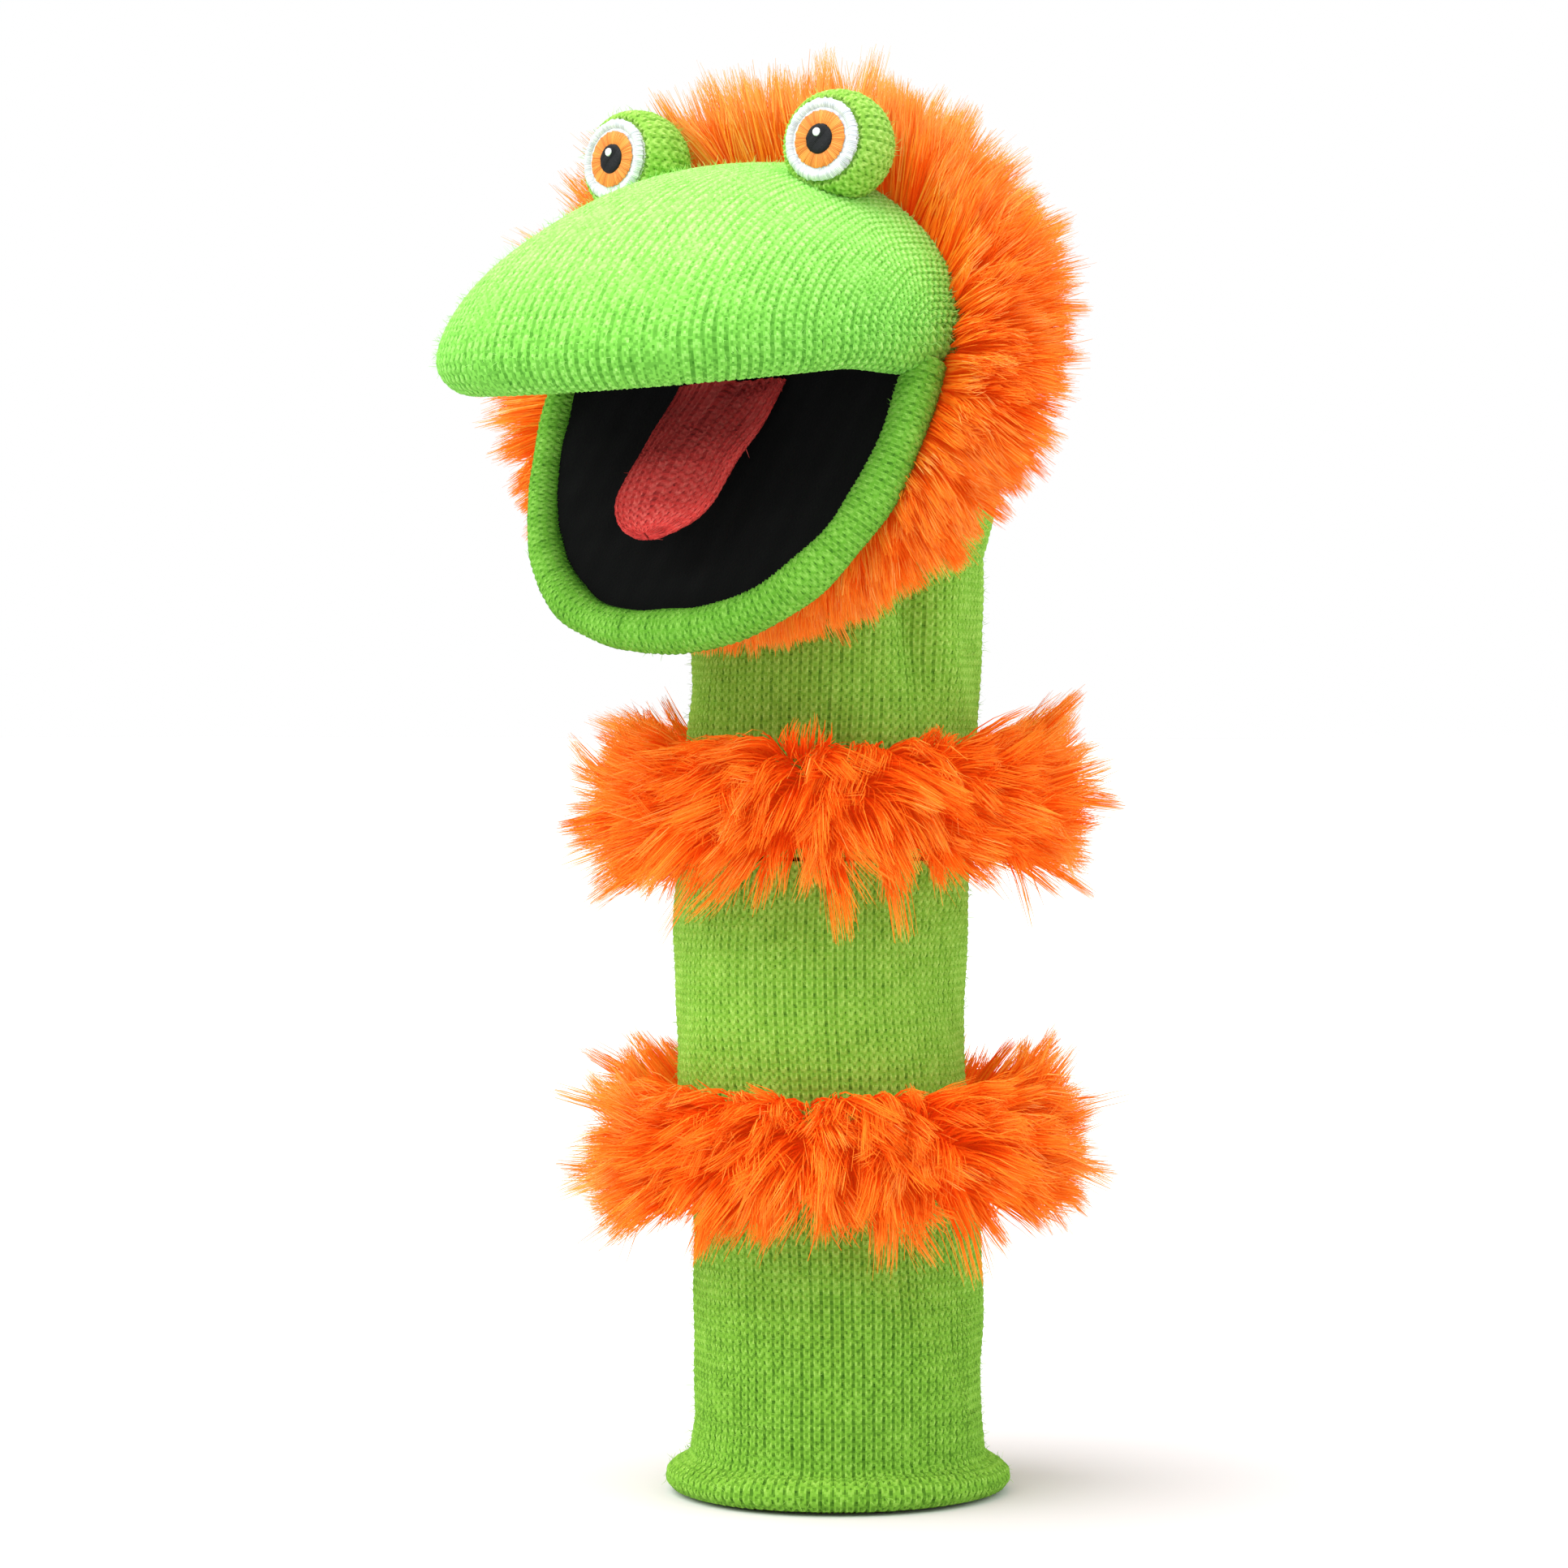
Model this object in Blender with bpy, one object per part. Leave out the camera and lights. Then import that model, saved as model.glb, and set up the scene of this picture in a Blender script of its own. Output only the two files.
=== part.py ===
"""Knitted mouth puppet: sock sleeve, padded beak and lower lip, tongue, eyes, fur bands and mane.

Metres, +Z up, the puppet faces -Y and stands on its hem at Z = 0.
"""
import math

import bmesh
import bpy
import numpy as np
from mathutils import Vector

GAP = 0.0003                    # clearance between touching pieces

# Sleeve and neck
SLEEVE_Y = 0.03265              # sleeve axis, so that the whole puppet is centred on Y = 0
TUBE_R = 0.0410                 # outer radius of the knitted tube
KNIT = 0.0016                   # thickness of the knit
HEM_R = 0.0465                  # outer radius of the rolled hem
HEM_TOP = 0.014
SPLIT_Z = 0.180                 # the tube twists here, under the upper fur band
NECK_TOP = 0.262
NOD_Z = 0.258

# Fur
TAPE = 0.0016                   # thickness of the fur backing
TAPE_HALF = 0.011               # half height of a band's backing
LOWER_BAND_Z = 0.097
UPPER_BAND_Z = 0.193
PILE_DEPTH = 0.0252             # radial depth of the pile of a band
PILE_HALF = 0.022

# Head shell: an elbow of the knit round the throat, ending in the face opening
THROAT_Y = -0.046 + SLEEVE_Y
THROAT_Z = 0.264
THROAT_R = 0.0020
ELBOW = math.radians(74.0)
COLLAR_R = 0.0451
FACE_A = 0.0600                 # half width of the face opening
FACE_B = 0.0470                 # half height of the face opening
COLLAR_BOTTOM = 0.256

# Mane: one strip over the head and one under the chin
MANE_TILT = math.radians(72.0)
MANE_A = 0.0600 + 0.0012
MANE_B = 0.0490 + 0.0008
MANE_DEPTH = 0.0250
MANE_THICK = 0.0100
MANE_THIN = 0.0044
MANE_SEAM = math.radians(3.0)

# Mouth
HINGE_Y = -0.046 + SLEEVE_Y
HINGE_Z = 0.315
UPPER_PITCH = math.radians(8.0)
LOWER_PITCH = math.radians(66.0)
JAW_W = 0.0680                  # half width of both jaws
BEAK_L = 0.0870
LIP_L = 0.0860
PLAN_N = 2.4                    # roundness of the jaws seen from above
BEAK_H = 0.0560
BEAK_M = 1.65                   # roundness of the beak seen from the side
BEAK_ROLL = 0.0090              # radius of the upper lip
BEAK_LEAN = math.tan(math.radians(20.0))
PAD_SIDE = 0.0240
PAD_TOP = 0.0200
LINING = 0.0012
BOARD = 0.0015
FOLD_R = 0.0022
LIP_R = 0.0055
LIP_RISE = 0.07                 # the lower lip stands higher towards its tip
LIP_START = math.radians(6.0)
CHIN_DEPTH = 0.0085

# Tongue
TONGUE_S = 0.0160               # root, measured from the mouth fold along the lower lining
TONGUE_LIFT = math.radians(14.0)
TONGUE_L = 0.0450
TONGUE_W = 0.0150
TONGUE_ROOT_T = 0.0014
TONGUE_TIP_T = 0.0040

# Eyes
EYE_X = 0.0355
EYE_Y = -0.0465 + SLEEVE_Y
EYE_Z = 0.3735
EYE_R = 0.0150
EYE_YAW = math.radians(5.0)
EYE_TILT = math.radians(5.0)
EYE_FACE = 0.0095               # distance of the flat front from the centre of the ball
RIM_R = 0.0122
WHITE_R = 0.0096
IRIS_R = 0.0082
PUPIL_R = 0.0045
SPARK_R = 0.0012
SPARK_UP = 0.0018
SPARK_SIDE = 0.0008

AROUND = 40                     # facets round the tube
PLAN = 22                       # facets along the edge of a jaw

COLOURS = {
    "knit_green": (0.30, 0.62, 0.10),
    "knit_lime": (0.36, 0.78, 0.13),
    "fur_orange": (0.95, 0.25, 0.03),
    "fur_backing": (0.70, 0.28, 0.08),
    "knit_red": (0.48, 0.05, 0.05),
    "felt_black": (0.012, 0.012, 0.013),
    "board": (0.55, 0.50, 0.42),
    "stuffing": (0.85, 0.85, 0.82),
    "elastic": (0.05, 0.05, 0.05),
    "thread_white": (0.85, 0.86, 0.88),
    "thread_orange": (0.90, 0.28, 0.04),
    "thread_black": (0.03, 0.03, 0.035),
}


def material(slot):
    found = bpy.data.materials.get(slot)
    if found:
        return found
    made = bpy.data.materials.new(slot)
    made.use_nodes = True
    shader = made.node_tree.nodes["Principled BSDF"]
    shader.inputs["Base Color"].default_value = (*COLOURS[slot], 1.0)
    shader.inputs["Roughness"].default_value = 0.85
    return made


def make_node(name, points, faces, slot, origin=(0.0, 0.0, 0.0), smooth=True):
    """A closed mesh with outward faces whose object origin is on its joint axis."""
    shape = bmesh.new()
    corners = [shape.verts.new(Vector(p) - Vector(origin)) for p in points]
    for face in faces:
        ring = [corners[i] for i in face]
        shape.faces.new(ring)
    bmesh.ops.remove_doubles(shape, verts=shape.verts, dist=1e-6)
    bmesh.ops.dissolve_degenerate(shape, edges=shape.edges, dist=1e-6)
    bmesh.ops.triangulate(shape, faces=shape.faces)
    bmesh.ops.recalc_face_normals(shape, faces=shape.faces)
    if shape.calc_volume(signed=True) < 0.0:
        bmesh.ops.reverse_faces(shape, faces=shape.faces)
    mesh = bpy.data.meshes.new(name)
    shape.to_mesh(mesh)
    shape.free()
    for polygon in mesh.polygons:
        polygon.use_smooth = smooth
    mesh.materials.append(material(slot))
    node = bpy.data.objects.new(name, mesh)
    node.location = origin
    bpy.context.scene.collection.objects.link(node)
    return node


def loop_faces(rows, columns, wrap_rows, wrap_columns):
    """Quads of a grid of points that may close on itself in either direction."""
    faces = []
    for i in range(rows if wrap_rows else rows - 1):
        for j in range(columns if wrap_columns else columns - 1):
            a = i * columns + j
            b = i * columns + (j + 1) % columns
            c = ((i + 1) % rows) * columns + (j + 1) % columns
            d = ((i + 1) % rows) * columns + j
            faces.append((a, b, c, d))
    return faces


def rings_node(name, rings, slot, origin=(0.0, 0.0, 0.0)):
    """A ring-shaped solid: closed rings, the last joined to the first."""
    points = [p for ring in rings for p in ring]
    return make_node(name, points, loop_faces(len(rings), len(rings[0]), True, True), slot, origin)


def capped_node(name, rings, slot, origin=(0.0, 0.0, 0.0)):
    """A plug-shaped solid: closed rings with a flat cap at each end."""
    columns = len(rings[0])
    points = [p for ring in rings for p in ring]
    faces = loop_faces(len(rings), columns, False, True)
    faces.append(tuple(range(columns)))
    faces.append(tuple(range((len(rings) - 1) * columns, len(rings) * columns)))
    return make_node(name, points, faces, slot, origin)


def sheet_node(name, outer, inner, slot, origin=(0.0, 0.0, 0.0), crown=False):
    """A shell between two grids of points, closed along its borders; a crown's last row closes itself."""
    rows = len(outer)
    columns = len(outer[0])
    points = [p for row in outer for p in row] + [p for row in inner for p in row]
    base = rows * columns
    faces = loop_faces(rows, columns, False, False)
    faces += [tuple(base + i for i in face) for face in loop_faces(rows, columns, False, False)]
    border = [j for j in range(columns)]
    border += [i * columns + columns - 1 for i in range(1, rows)]
    border += [(rows - 1) * columns + j for j in range(columns - 2, -1, -1)]
    border += [i * columns for i in range(rows - 2, 0, -1)]
    for k, here in enumerate(border):
        after = border[(k + 1) % len(border)]
        on_top = min(here, after) >= (rows - 1) * columns
        if crown and on_top:
            continue
        faces.append((here, after, base + after, base + here))
    return make_node(name, points, faces, slot, origin)


def circle(radius, z, count=AROUND):
    turns = [2.0 * math.pi * k / count for k in range(count)]
    return [(radius * math.cos(a), SLEEVE_Y + radius * math.sin(a), z) for a in turns]


def revolve_node(name, profile, slot, origin=(0.0, 0.0, 0.0)):
    """A ring round the sleeve's axis from a closed profile of (radius, height) points."""
    return rings_node(name, [circle(r, z) for r, z in profile], slot, origin)


# ---------------------------------------------------------------- sleeve, neck and bands

def tube(name, bottom, top, origin):
    levels = np.linspace(bottom, top, 3)
    profile = [(TUBE_R, z) for z in levels] + [(TUBE_R - KNIT, z) for z in levels[::-1]]
    revolve_node(name, profile, "knit_green", origin)


def hem():
    """The flared brim, rolled outwards, with a flat underside."""
    inner = TUBE_R - KNIT
    profile = [(inner, 0.0), (HEM_R - 0.0015, 0.0), (HEM_R, 0.0020), (HEM_R, 0.0075),
               (HEM_R - 0.0012, 0.0105), (TUBE_R + 0.0016, HEM_TOP - 0.0008), (TUBE_R, HEM_TOP),
               (inner, HEM_TOP)]
    revolve_node("hem_cuff", profile, "knit_green")


def band(prefix, centre, origin):
    low = centre - TAPE_HALF
    high = centre + TAPE_HALF
    inside = TUBE_R + GAP
    profile = [(inside, low), (inside + TAPE, low), (inside + TAPE, high), (inside, high)]
    revolve_node(prefix + "_backing", profile, "fur_backing", origin)
    root = inside + TAPE + GAP
    turns = [2.0 * math.pi * k / 12 for k in range(12)]
    profile = []
    for a in turns:
        droop = -0.004 * (1.0 + math.cos(a)) * 0.5
        profile.append((root + 0.5 * PILE_DEPTH * (1.0 + math.cos(a)),
                        centre + PILE_HALF * math.sin(a) + droop))
    revolve_node(prefix + "_pile", profile, "fur_orange", origin)


# ---------------------------------------------------------------- head

def elbow_ring(turn, half_width, half_height, throat, count=AROUND):
    """A ring of the head shell in the plane turned about the throat line."""
    along = Vector((0.0, math.cos(turn), math.sin(turn)))
    pivot = Vector((0.0, THROAT_Y, THROAT_Z))
    centre = pivot + along * (half_height + throat)
    ring = []
    for k in range(count):
        a = 2.0 * math.pi * k / count
        ring.append(centre + Vector((half_width * math.cos(a), 0.0, 0.0)) + along * half_height * math.sin(a))
    return ring


def head_shell(origin):
    """The back of the head from the collar round the elbow to the face opening."""
    outer, inner = [], []
    steps = 9
    for k in range(steps + 1):
        t = k / steps
        ease = math.sin(0.5 * math.pi * t)
        a = COLLAR_R + (FACE_A - COLLAR_R) * ease
        b = COLLAR_R + (FACE_B - COLLAR_R) * ease
        outer.append(elbow_ring(ELBOW * t, a, b, THROAT_R - (COLLAR_R - 0.044) * (1.0 - ease)))
        inner.append(elbow_ring(ELBOW * t, a - KNIT, b - KNIT,
                                THROAT_R - (COLLAR_R - 0.044) * (1.0 - ease) + KNIT))
    drop = Vector((0.0, 0.0, COLLAR_BOTTOM - THROAT_Z))
    outer.insert(0, [p + drop for p in outer[0]])
    inner.insert(0, [p + drop for p in inner[0]])
    rings_node("head_back", outer + inner[::-1], "knit_green", origin)


def mane_part(name, start, end, slot, inside, depth, thick, thin, origin):
    """A stretch of the mane: an oval section swept along the tilted face ellipse."""
    normal = Vector((0.0, -math.sin(MANE_TILT), math.cos(MANE_TILT)))
    along = Vector((0.0, math.cos(MANE_TILT), math.sin(MANE_TILT)))
    centre = Vector((0.0, THROAT_Y, THROAT_Z)) + along * (FACE_B + THROAT_R)
    rings = []
    steps = 18
    for k in range(steps + 1):
        a = start + (end - start) * k / steps
        low = 0.5 - 0.5 * math.sin(a)
        half = thick + (thin - thick) * low ** 1.5
        forward = normal * (0.0030 * low ** 1.5 - 0.006 * (1.0 - low))
        outward = Vector((math.cos(a) / MANE_A, 0.0, 0.0)) + along * (math.sin(a) / MANE_B)
        outward.normalize()
        root = centre + forward + Vector((MANE_A * math.cos(a), 0.0, 0.0)) + along * MANE_B * math.sin(a)
        ring = []
        for j in range(10):
            b = 2.0 * math.pi * j / 10
            ring.append(root + outward * (inside + 0.5 * depth * (1.0 + math.cos(b)))
                        + normal * half * math.sin(b))
        rings.append(ring)
    capped_node(name, rings, slot, origin)


def mane(origin):
    backing = 0.0018
    for side, start, end in (("upper", MANE_SEAM, math.pi - MANE_SEAM),
                             ("lower", math.pi + MANE_SEAM, 2.0 * math.pi - MANE_SEAM)):
        mane_part("mane_" + side + "_backing", start, end, "fur_backing", 0.0, backing,
                  MANE_THICK * 0.8, MANE_THIN * 0.8, origin)
        mane_part("mane_" + side + "_pile", start, end, "fur_orange", backing + GAP,
                  MANE_DEPTH - backing, MANE_THICK, MANE_THIN, origin)


# ---------------------------------------------------------------- jaws

def jaw_point(pitch, x, s, h):
    """A point of a jaw: x across, s forward from the mouth fold, h up from its plane."""
    return Vector((x, HINGE_Y - s * math.cos(pitch) - h * math.sin(pitch),
                   HINGE_Z - s * math.sin(pitch) + h * math.cos(pitch)))


def plan_point(turn, half_width, length):
    c = math.cos(turn)
    s = math.sin(turn)
    r = (abs(c) ** PLAN_N + abs(s) ** PLAN_N) ** (-1.0 / PLAN_N)
    return half_width * r * c, length * r * s


def beak_levels(inset, top, lowest):
    """(inset or scale, height) of each horizontal level of the beak, from the lip to the crown."""
    roll = BEAK_ROLL - inset
    levels = []
    for k in range(5):
        b = 0.5 * math.pi * (1.0 - k / 4.0)
        height = inset + roll * (1.0 - math.sin(b))
        levels.append((inset + roll * (1.0 - math.cos(b)), 1.0, max(height, lowest)))
    for k in range(1, 9):
        t = 0.5 * math.pi * k / 8.0
        scale = max(math.cos(t), 0.0) ** (2.0 / BEAK_M)
        levels.append((inset, scale, BEAK_ROLL + (top - BEAK_ROLL) * math.sin(t) ** (2.0 / BEAK_M)))
    return levels


def beak_grid(inset, top, lowest, side, front):
    """Rows of the beak from lip to crown; the outer columns lean back behind the mouth fold."""
    rows = []
    for step, scale, height in beak_levels(inset, top, lowest):
        row = []
        for k in range(-3, PLAN + 4):
            turn = math.pi * min(max(k, 0), PLAN) / PLAN
            x, s = plan_point(turn, (JAW_W - step - side) * scale, (BEAK_L - step - front) * scale)
            behind = max(-k, k - PLAN, 0) / 3.0
            row.append(jaw_point(UPPER_PITCH, x, s + GAP - behind * height * BEAK_LEAN, height))
        rows.append(row)
    return rows


def beak(origin):
    inner_top = BEAK_H - KNIT
    sheet_node("beak_cover", beak_grid(0.0, BEAK_H, 0.0, 0.0, 0.0),
               beak_grid(KNIT, inner_top, 0.0, 0.0, 0.0), "knit_lime", origin, crown=True)
    floor = GAP + LINING + GAP + BOARD + GAP
    inset = KNIT + GAP
    outer = beak_grid(inset, BEAK_H - inset, floor, 0.0, 0.0)
    inner = beak_grid(inset, BEAK_H - inset - PAD_TOP, floor, PAD_SIDE, PAD_SIDE)
    sheet_node("beak_padding", outer[1:], inner[1:], "stuffing", origin, crown=True)


def plate(name, pitch, low, high, length, half_width, slot, origin):
    """A flat half-oval piece of felt or board that starts just in front of the mouth fold."""
    start = FOLD_R + 2.0 * GAP
    turns = [math.pi * k / PLAN for k in range(PLAN + 1)]
    outline = [plan_point(a, half_width, length) for a in turns]
    outline = [(x, max(s, start)) for x, s in outline]
    middle = [(outline[-1][0] * (1.0 - k / 6.0) + outline[0][0] * k / 6.0, start) for k in range(1, 6)]
    ring = outline + middle
    rings = [[jaw_point(pitch, x, s, h) for x, s in ring] for h in (low, high)]
    capped_node(name, rings, slot, origin)


def upper_plates(origin):
    half = JAW_W - BEAK_ROLL - 0.0006
    length = BEAK_L - BEAK_ROLL - 0.0006
    plate("upper_mouth_lining", UPPER_PITCH, GAP, GAP + LINING, length, half, "felt_black", origin)
    low = GAP + LINING + GAP
    plate("upper_mouth_board", UPPER_PITCH, low, low + BOARD, length, half, "board", origin)


def lower_plates(origin):
    half = JAW_W - 2.0 * LIP_R - 0.0006
    length = LIP_L - 2.0 * LIP_R - 0.0006
    plate("lower_mouth_lining", LOWER_PITCH, -GAP - LINING, -GAP, length, half, "felt_black", origin)
    low = GAP + LINING + GAP
    plate("lower_mouth_board", LOWER_PITCH, -low - BOARD, -low, length, half, "board", origin)


def mouth_fold(origin):
    """The folded strip of felt that joins the two linings and lets the mouth open."""
    half = JAW_W - 2.0 * LIP_R - 0.0006
    rings = []
    for x in np.linspace(-half, half, 3):
        ring = []
        for k in range(8):
            a = 2.0 * math.pi * k / 8
            ring.append((x, HINGE_Y + FOLD_R * math.cos(a), HINGE_Z + FOLD_R * math.sin(a)))
        rings.append(ring)
    capped_node("mouth_fold", rings, "felt_black", origin)


def lip_ring(turn, radius):
    """A section of the lower lip, square to its outline."""
    x, s = plan_point(turn, JAW_W - LIP_R, LIP_L - LIP_R)
    x2, s2 = plan_point(turn + 0.01, JAW_W - LIP_R, LIP_L - LIP_R)
    ahead = Vector((x2 - x, s2 - s, 0.0)).normalized()
    side = Vector((ahead.y, -ahead.x, 0.0))
    ring = []
    for k in range(10):
        a = 2.0 * math.pi * k / 10
        out = side * radius * math.cos(a)
        ring.append(jaw_point(LOWER_PITCH, x + out.x, s + out.y,
                              s * LIP_RISE - LIP_R + radius * math.sin(a)))
    return ring


def lower_lip(origin):
    turns = [LIP_START + (math.pi - 2.0 * LIP_START) * k / PLAN for k in range(PLAN + 1)]
    cover = [lip_ring(a, LIP_R) for a in turns]
    hollow = [lip_ring(a, LIP_R - KNIT) for a in turns]
    rings_node("lower_lip_cover", cover + hollow[::-1], "knit_green", origin)
    capped_node("lower_lip_padding", [lip_ring(a, LIP_R - KNIT - GAP) for a in turns], "stuffing", origin)


def chin_row(scale, height):
    row = []
    for k in range(PLAN + 1):
        turn = LIP_START + (math.pi - 2.0 * LIP_START) * k / PLAN
        x, s = plan_point(turn, (JAW_W - LIP_R) * scale, (LIP_L - LIP_R) * scale)
        row.append(jaw_point(LOWER_PITCH, x, s, height))
    return row


def chin(origin):
    """The knit under the lower lip, open in the middle for the thumb."""
    scales = (0.88, 0.80, 0.70, 0.58)
    heights = (0.60 * CHIN_DEPTH, 0.80 * CHIN_DEPTH, 0.95 * CHIN_DEPTH, CHIN_DEPTH)
    outer = [chin_row(f, -h - KNIT) for f, h in zip(scales, heights)]
    inner = [chin_row(f, -h) for f, h in zip(scales, heights)]
    sheet_node("chin_panel", outer, inner, "knit_green", origin)


def strap(name, pitch, sign, half_width, height, near, far, origin):
    """An elastic loop sewn across the back of a mouth board for the fingers or the thumb."""
    thick = 0.0014
    floor = GAP + LINING + GAP + BOARD + GAP
    outer, inner = [], []
    for k in range(13):
        a = math.pi * k / 12
        c = math.cos(a)
        s = math.sin(a)
        r = (abs(c) ** 3.0 + abs(s) ** 3.0) ** (-1.0 / 3.0)
        outer.append([jaw_point(pitch, half_width * r * c, t, sign * (floor + height * r * s))
                      for t in (near, far)])
        inner.append([jaw_point(pitch, (half_width - thick) * r * c, t,
                                sign * (floor + (height - thick) * r * s)) for t in (near, far)])
    sheet_node(name, outer, inner, "elastic", origin)


# ---------------------------------------------------------------- tongue

def tongue_point(x, s, h):
    """A point of the tongue, measured from its root on the lower lining."""
    root = jaw_point(LOWER_PITCH, 0.0, TONGUE_S, GAP)
    pitch = LOWER_PITCH - TONGUE_LIFT
    return root + Vector((x, -s * math.cos(pitch) - h * math.sin(pitch),
                          -s * math.sin(pitch) + h * math.cos(pitch)))


def tongue_rings(inset, start):
    """Sections of the tongue from its flat root to its rounded, stuffed tip."""
    rings = []
    steps = 9
    for k in range(steps + 1):
        t = start + (1.0 - start) * math.sin(0.5 * math.pi * k / steps)
        s = t * (TONGUE_L - inset)
        tip = max(0.0, (s - (TONGUE_L - TONGUE_W)) / (TONGUE_W - inset))
        round_off = math.sqrt(max(1.0 - tip * tip, 0.002))
        half = (TONGUE_W - inset) * round_off
        grow = TONGUE_ROOT_T + (TONGUE_TIP_T - TONGUE_ROOT_T) * min(1.0, t * 1.4)
        thick = max(grow * (0.35 + 0.65 * round_off) - inset, 0.0002)
        ring = []
        for j in range(12):
            a = 2.0 * math.pi * j / 12
            ring.append(tongue_point(half * math.cos(a), s, grow + 0.0006 + thick * math.sin(a)))
        rings.append(ring)
    return rings


def tongue(origin):
    knit = 0.0008
    outer = tongue_rings(0.0, 0.0)
    inner = tongue_rings(knit, 0.0)
    points = [p for ring in outer for p in ring] + [p for ring in inner for p in ring]
    columns = len(outer[0])
    rows = len(outer)
    base = rows * columns
    faces = loop_faces(rows, columns, False, True)
    faces += [tuple(base + i for i in face) for face in loop_faces(rows, columns, False, True)]
    for j in range(columns):
        after = (j + 1) % columns
        faces.append((j, after, base + after, base + j))
    last = (rows - 1) * columns
    faces.append(tuple(last + j for j in range(columns)))
    faces.append(tuple(base + last + j for j in range(columns)))
    make_node("tongue_cover", points, faces, "knit_red", origin)
    capped_node("tongue_stuffing", tongue_rings(knit + GAP, 0.06), "stuffing", origin)


# ---------------------------------------------------------------- eyes

def beak_height(x, s):
    """Height of the beak's surface above its plane."""
    reach = (abs(x) / JAW_W) ** PLAN_N + (max(s, 0.0) / BEAK_L) ** PLAN_N
    level = 1.0 - min(reach, 1.0) ** (BEAK_M / PLAN_N)
    return BEAK_ROLL + (BEAK_H - BEAK_ROLL) * level ** (1.0 / BEAK_M)


def rest_on_beak(point, above):
    """Lift a point that would sink into the beak to a height above its surface."""
    y = point.y - HINGE_Y
    z = point.z - HINGE_Z
    s = -y * math.cos(UPPER_PITCH) - z * math.sin(UPPER_PITCH)
    h = -y * math.sin(UPPER_PITCH) + z * math.cos(UPPER_PITCH)
    h = max(h, beak_height(point.x, s) + above)
    return jaw_point(UPPER_PITCH, point.x, s, h)


def eye_axes(side):
    ahead = Vector((side * math.sin(EYE_YAW) * math.cos(EYE_TILT),
                    -math.cos(EYE_YAW) * math.cos(EYE_TILT), math.sin(EYE_TILT)))
    across = ahead.cross(Vector((0.0, 0.0, 1.0))).normalized()
    return ahead, across, across.cross(ahead)


def ball_rings(side, radius, face, above, hole):
    centre = Vector((side * EYE_X, EYE_Y, EYE_Z))
    ahead, across, upward = eye_axes(side)
    front = math.acos(face / radius)
    rings = []
    for k in range(10):
        polar = front + (math.pi - hole - front) * k / 9
        ring = []
        for j in range(18):
            a = 2.0 * math.pi * j / 18
            flat = across * math.cos(a) + upward * math.sin(a)
            point = centre + ahead * radius * math.cos(polar) + flat * radius * math.sin(polar)
            ring.append(rest_on_beak(point, above))
        rings.append(ring)
    return rings


def disc(name, side, radius, low, high, slot, origin, shift=(0.0, 0.0)):
    ahead, across, upward = eye_axes(side)
    centre = Vector((side * EYE_X, EYE_Y, EYE_Z)) + across * shift[0] + upward * shift[1]
    rings = []
    for r, d in ((radius, low), (radius, high - 0.0002), (radius - 0.0002, high)):
        turns = [2.0 * math.pi * k / 18 for k in range(18)]
        rings.append([centre + ahead * d + (across * math.cos(a) + upward * math.sin(a)) * r for a in turns])
    capped_node(name, rings, slot, origin)


def eye_border(name, side, low, high, origin):
    ahead, across, upward = eye_axes(side)
    centre = Vector((side * EYE_X, EYE_Y, EYE_Z))
    inner = WHITE_R + GAP
    bevel = 0.0005
    profile = ((inner, low), (RIM_R, low), (RIM_R, high - bevel), (RIM_R - bevel, high),
               (inner + bevel, high), (inner, high - bevel))
    rings = []
    for r, d in profile:
        turns = [2.0 * math.pi * k / 18 for k in range(18)]
        rings.append([centre + ahead * d + (across * math.cos(a) + upward * math.sin(a)) * r for a in turns])
    rings_node(name, rings, "thread_white", origin)


def eye(side, prefix, origin):
    knit = 0.0012
    outer = ball_rings(side, EYE_R, EYE_FACE, 0.0008, 0.22)
    inner = ball_rings(side, EYE_R - knit, EYE_FACE - knit, 0.0008 + knit, 0.24)
    columns = len(outer[0])
    rows = len(outer)
    points = [p for ring in outer for p in ring] + [p for ring in inner for p in ring]
    base = rows * columns
    faces = loop_faces(rows, columns, False, True)
    faces += [tuple(base + i for i in face) for face in loop_faces(rows, columns, False, True)]
    faces.append(tuple(range(columns)))
    faces.append(tuple(base + j for j in range(columns)))
    last = (rows - 1) * columns
    for j in range(columns):
        after = (j + 1) % columns
        faces.append((last + j, last + after, base + last + after, base + last + j))
    make_node(prefix + "_eye_cover", points, faces, "knit_green", origin)
    inset = knit + GAP
    capped_node(prefix + "_eye_stuffing",
                ball_rings(side, EYE_R - inset, EYE_FACE - inset, 0.0008 + inset, 0.26), "stuffing", origin)
    face = EYE_FACE + GAP
    eye_border(prefix + "_eye_border", side, face, face + 0.0016, origin)
    disc(prefix + "_eye_white", side, WHITE_R, face, face + 0.0008, "thread_white", origin)
    level = face + 0.0008 + GAP
    disc(prefix + "_eye_iris", side, IRIS_R, level, level + 0.0008, "thread_orange", origin)
    level += 0.0008 + GAP
    disc(prefix + "_eye_pupil", side, PUPIL_R, level, level + 0.0006, "thread_black", origin)
    level += 0.0006 + GAP
    disc(prefix + "_eye_highlight", side, SPARK_R, level, level + 0.0005, "thread_white", origin,
         (SPARK_SIDE, SPARK_UP))


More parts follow.
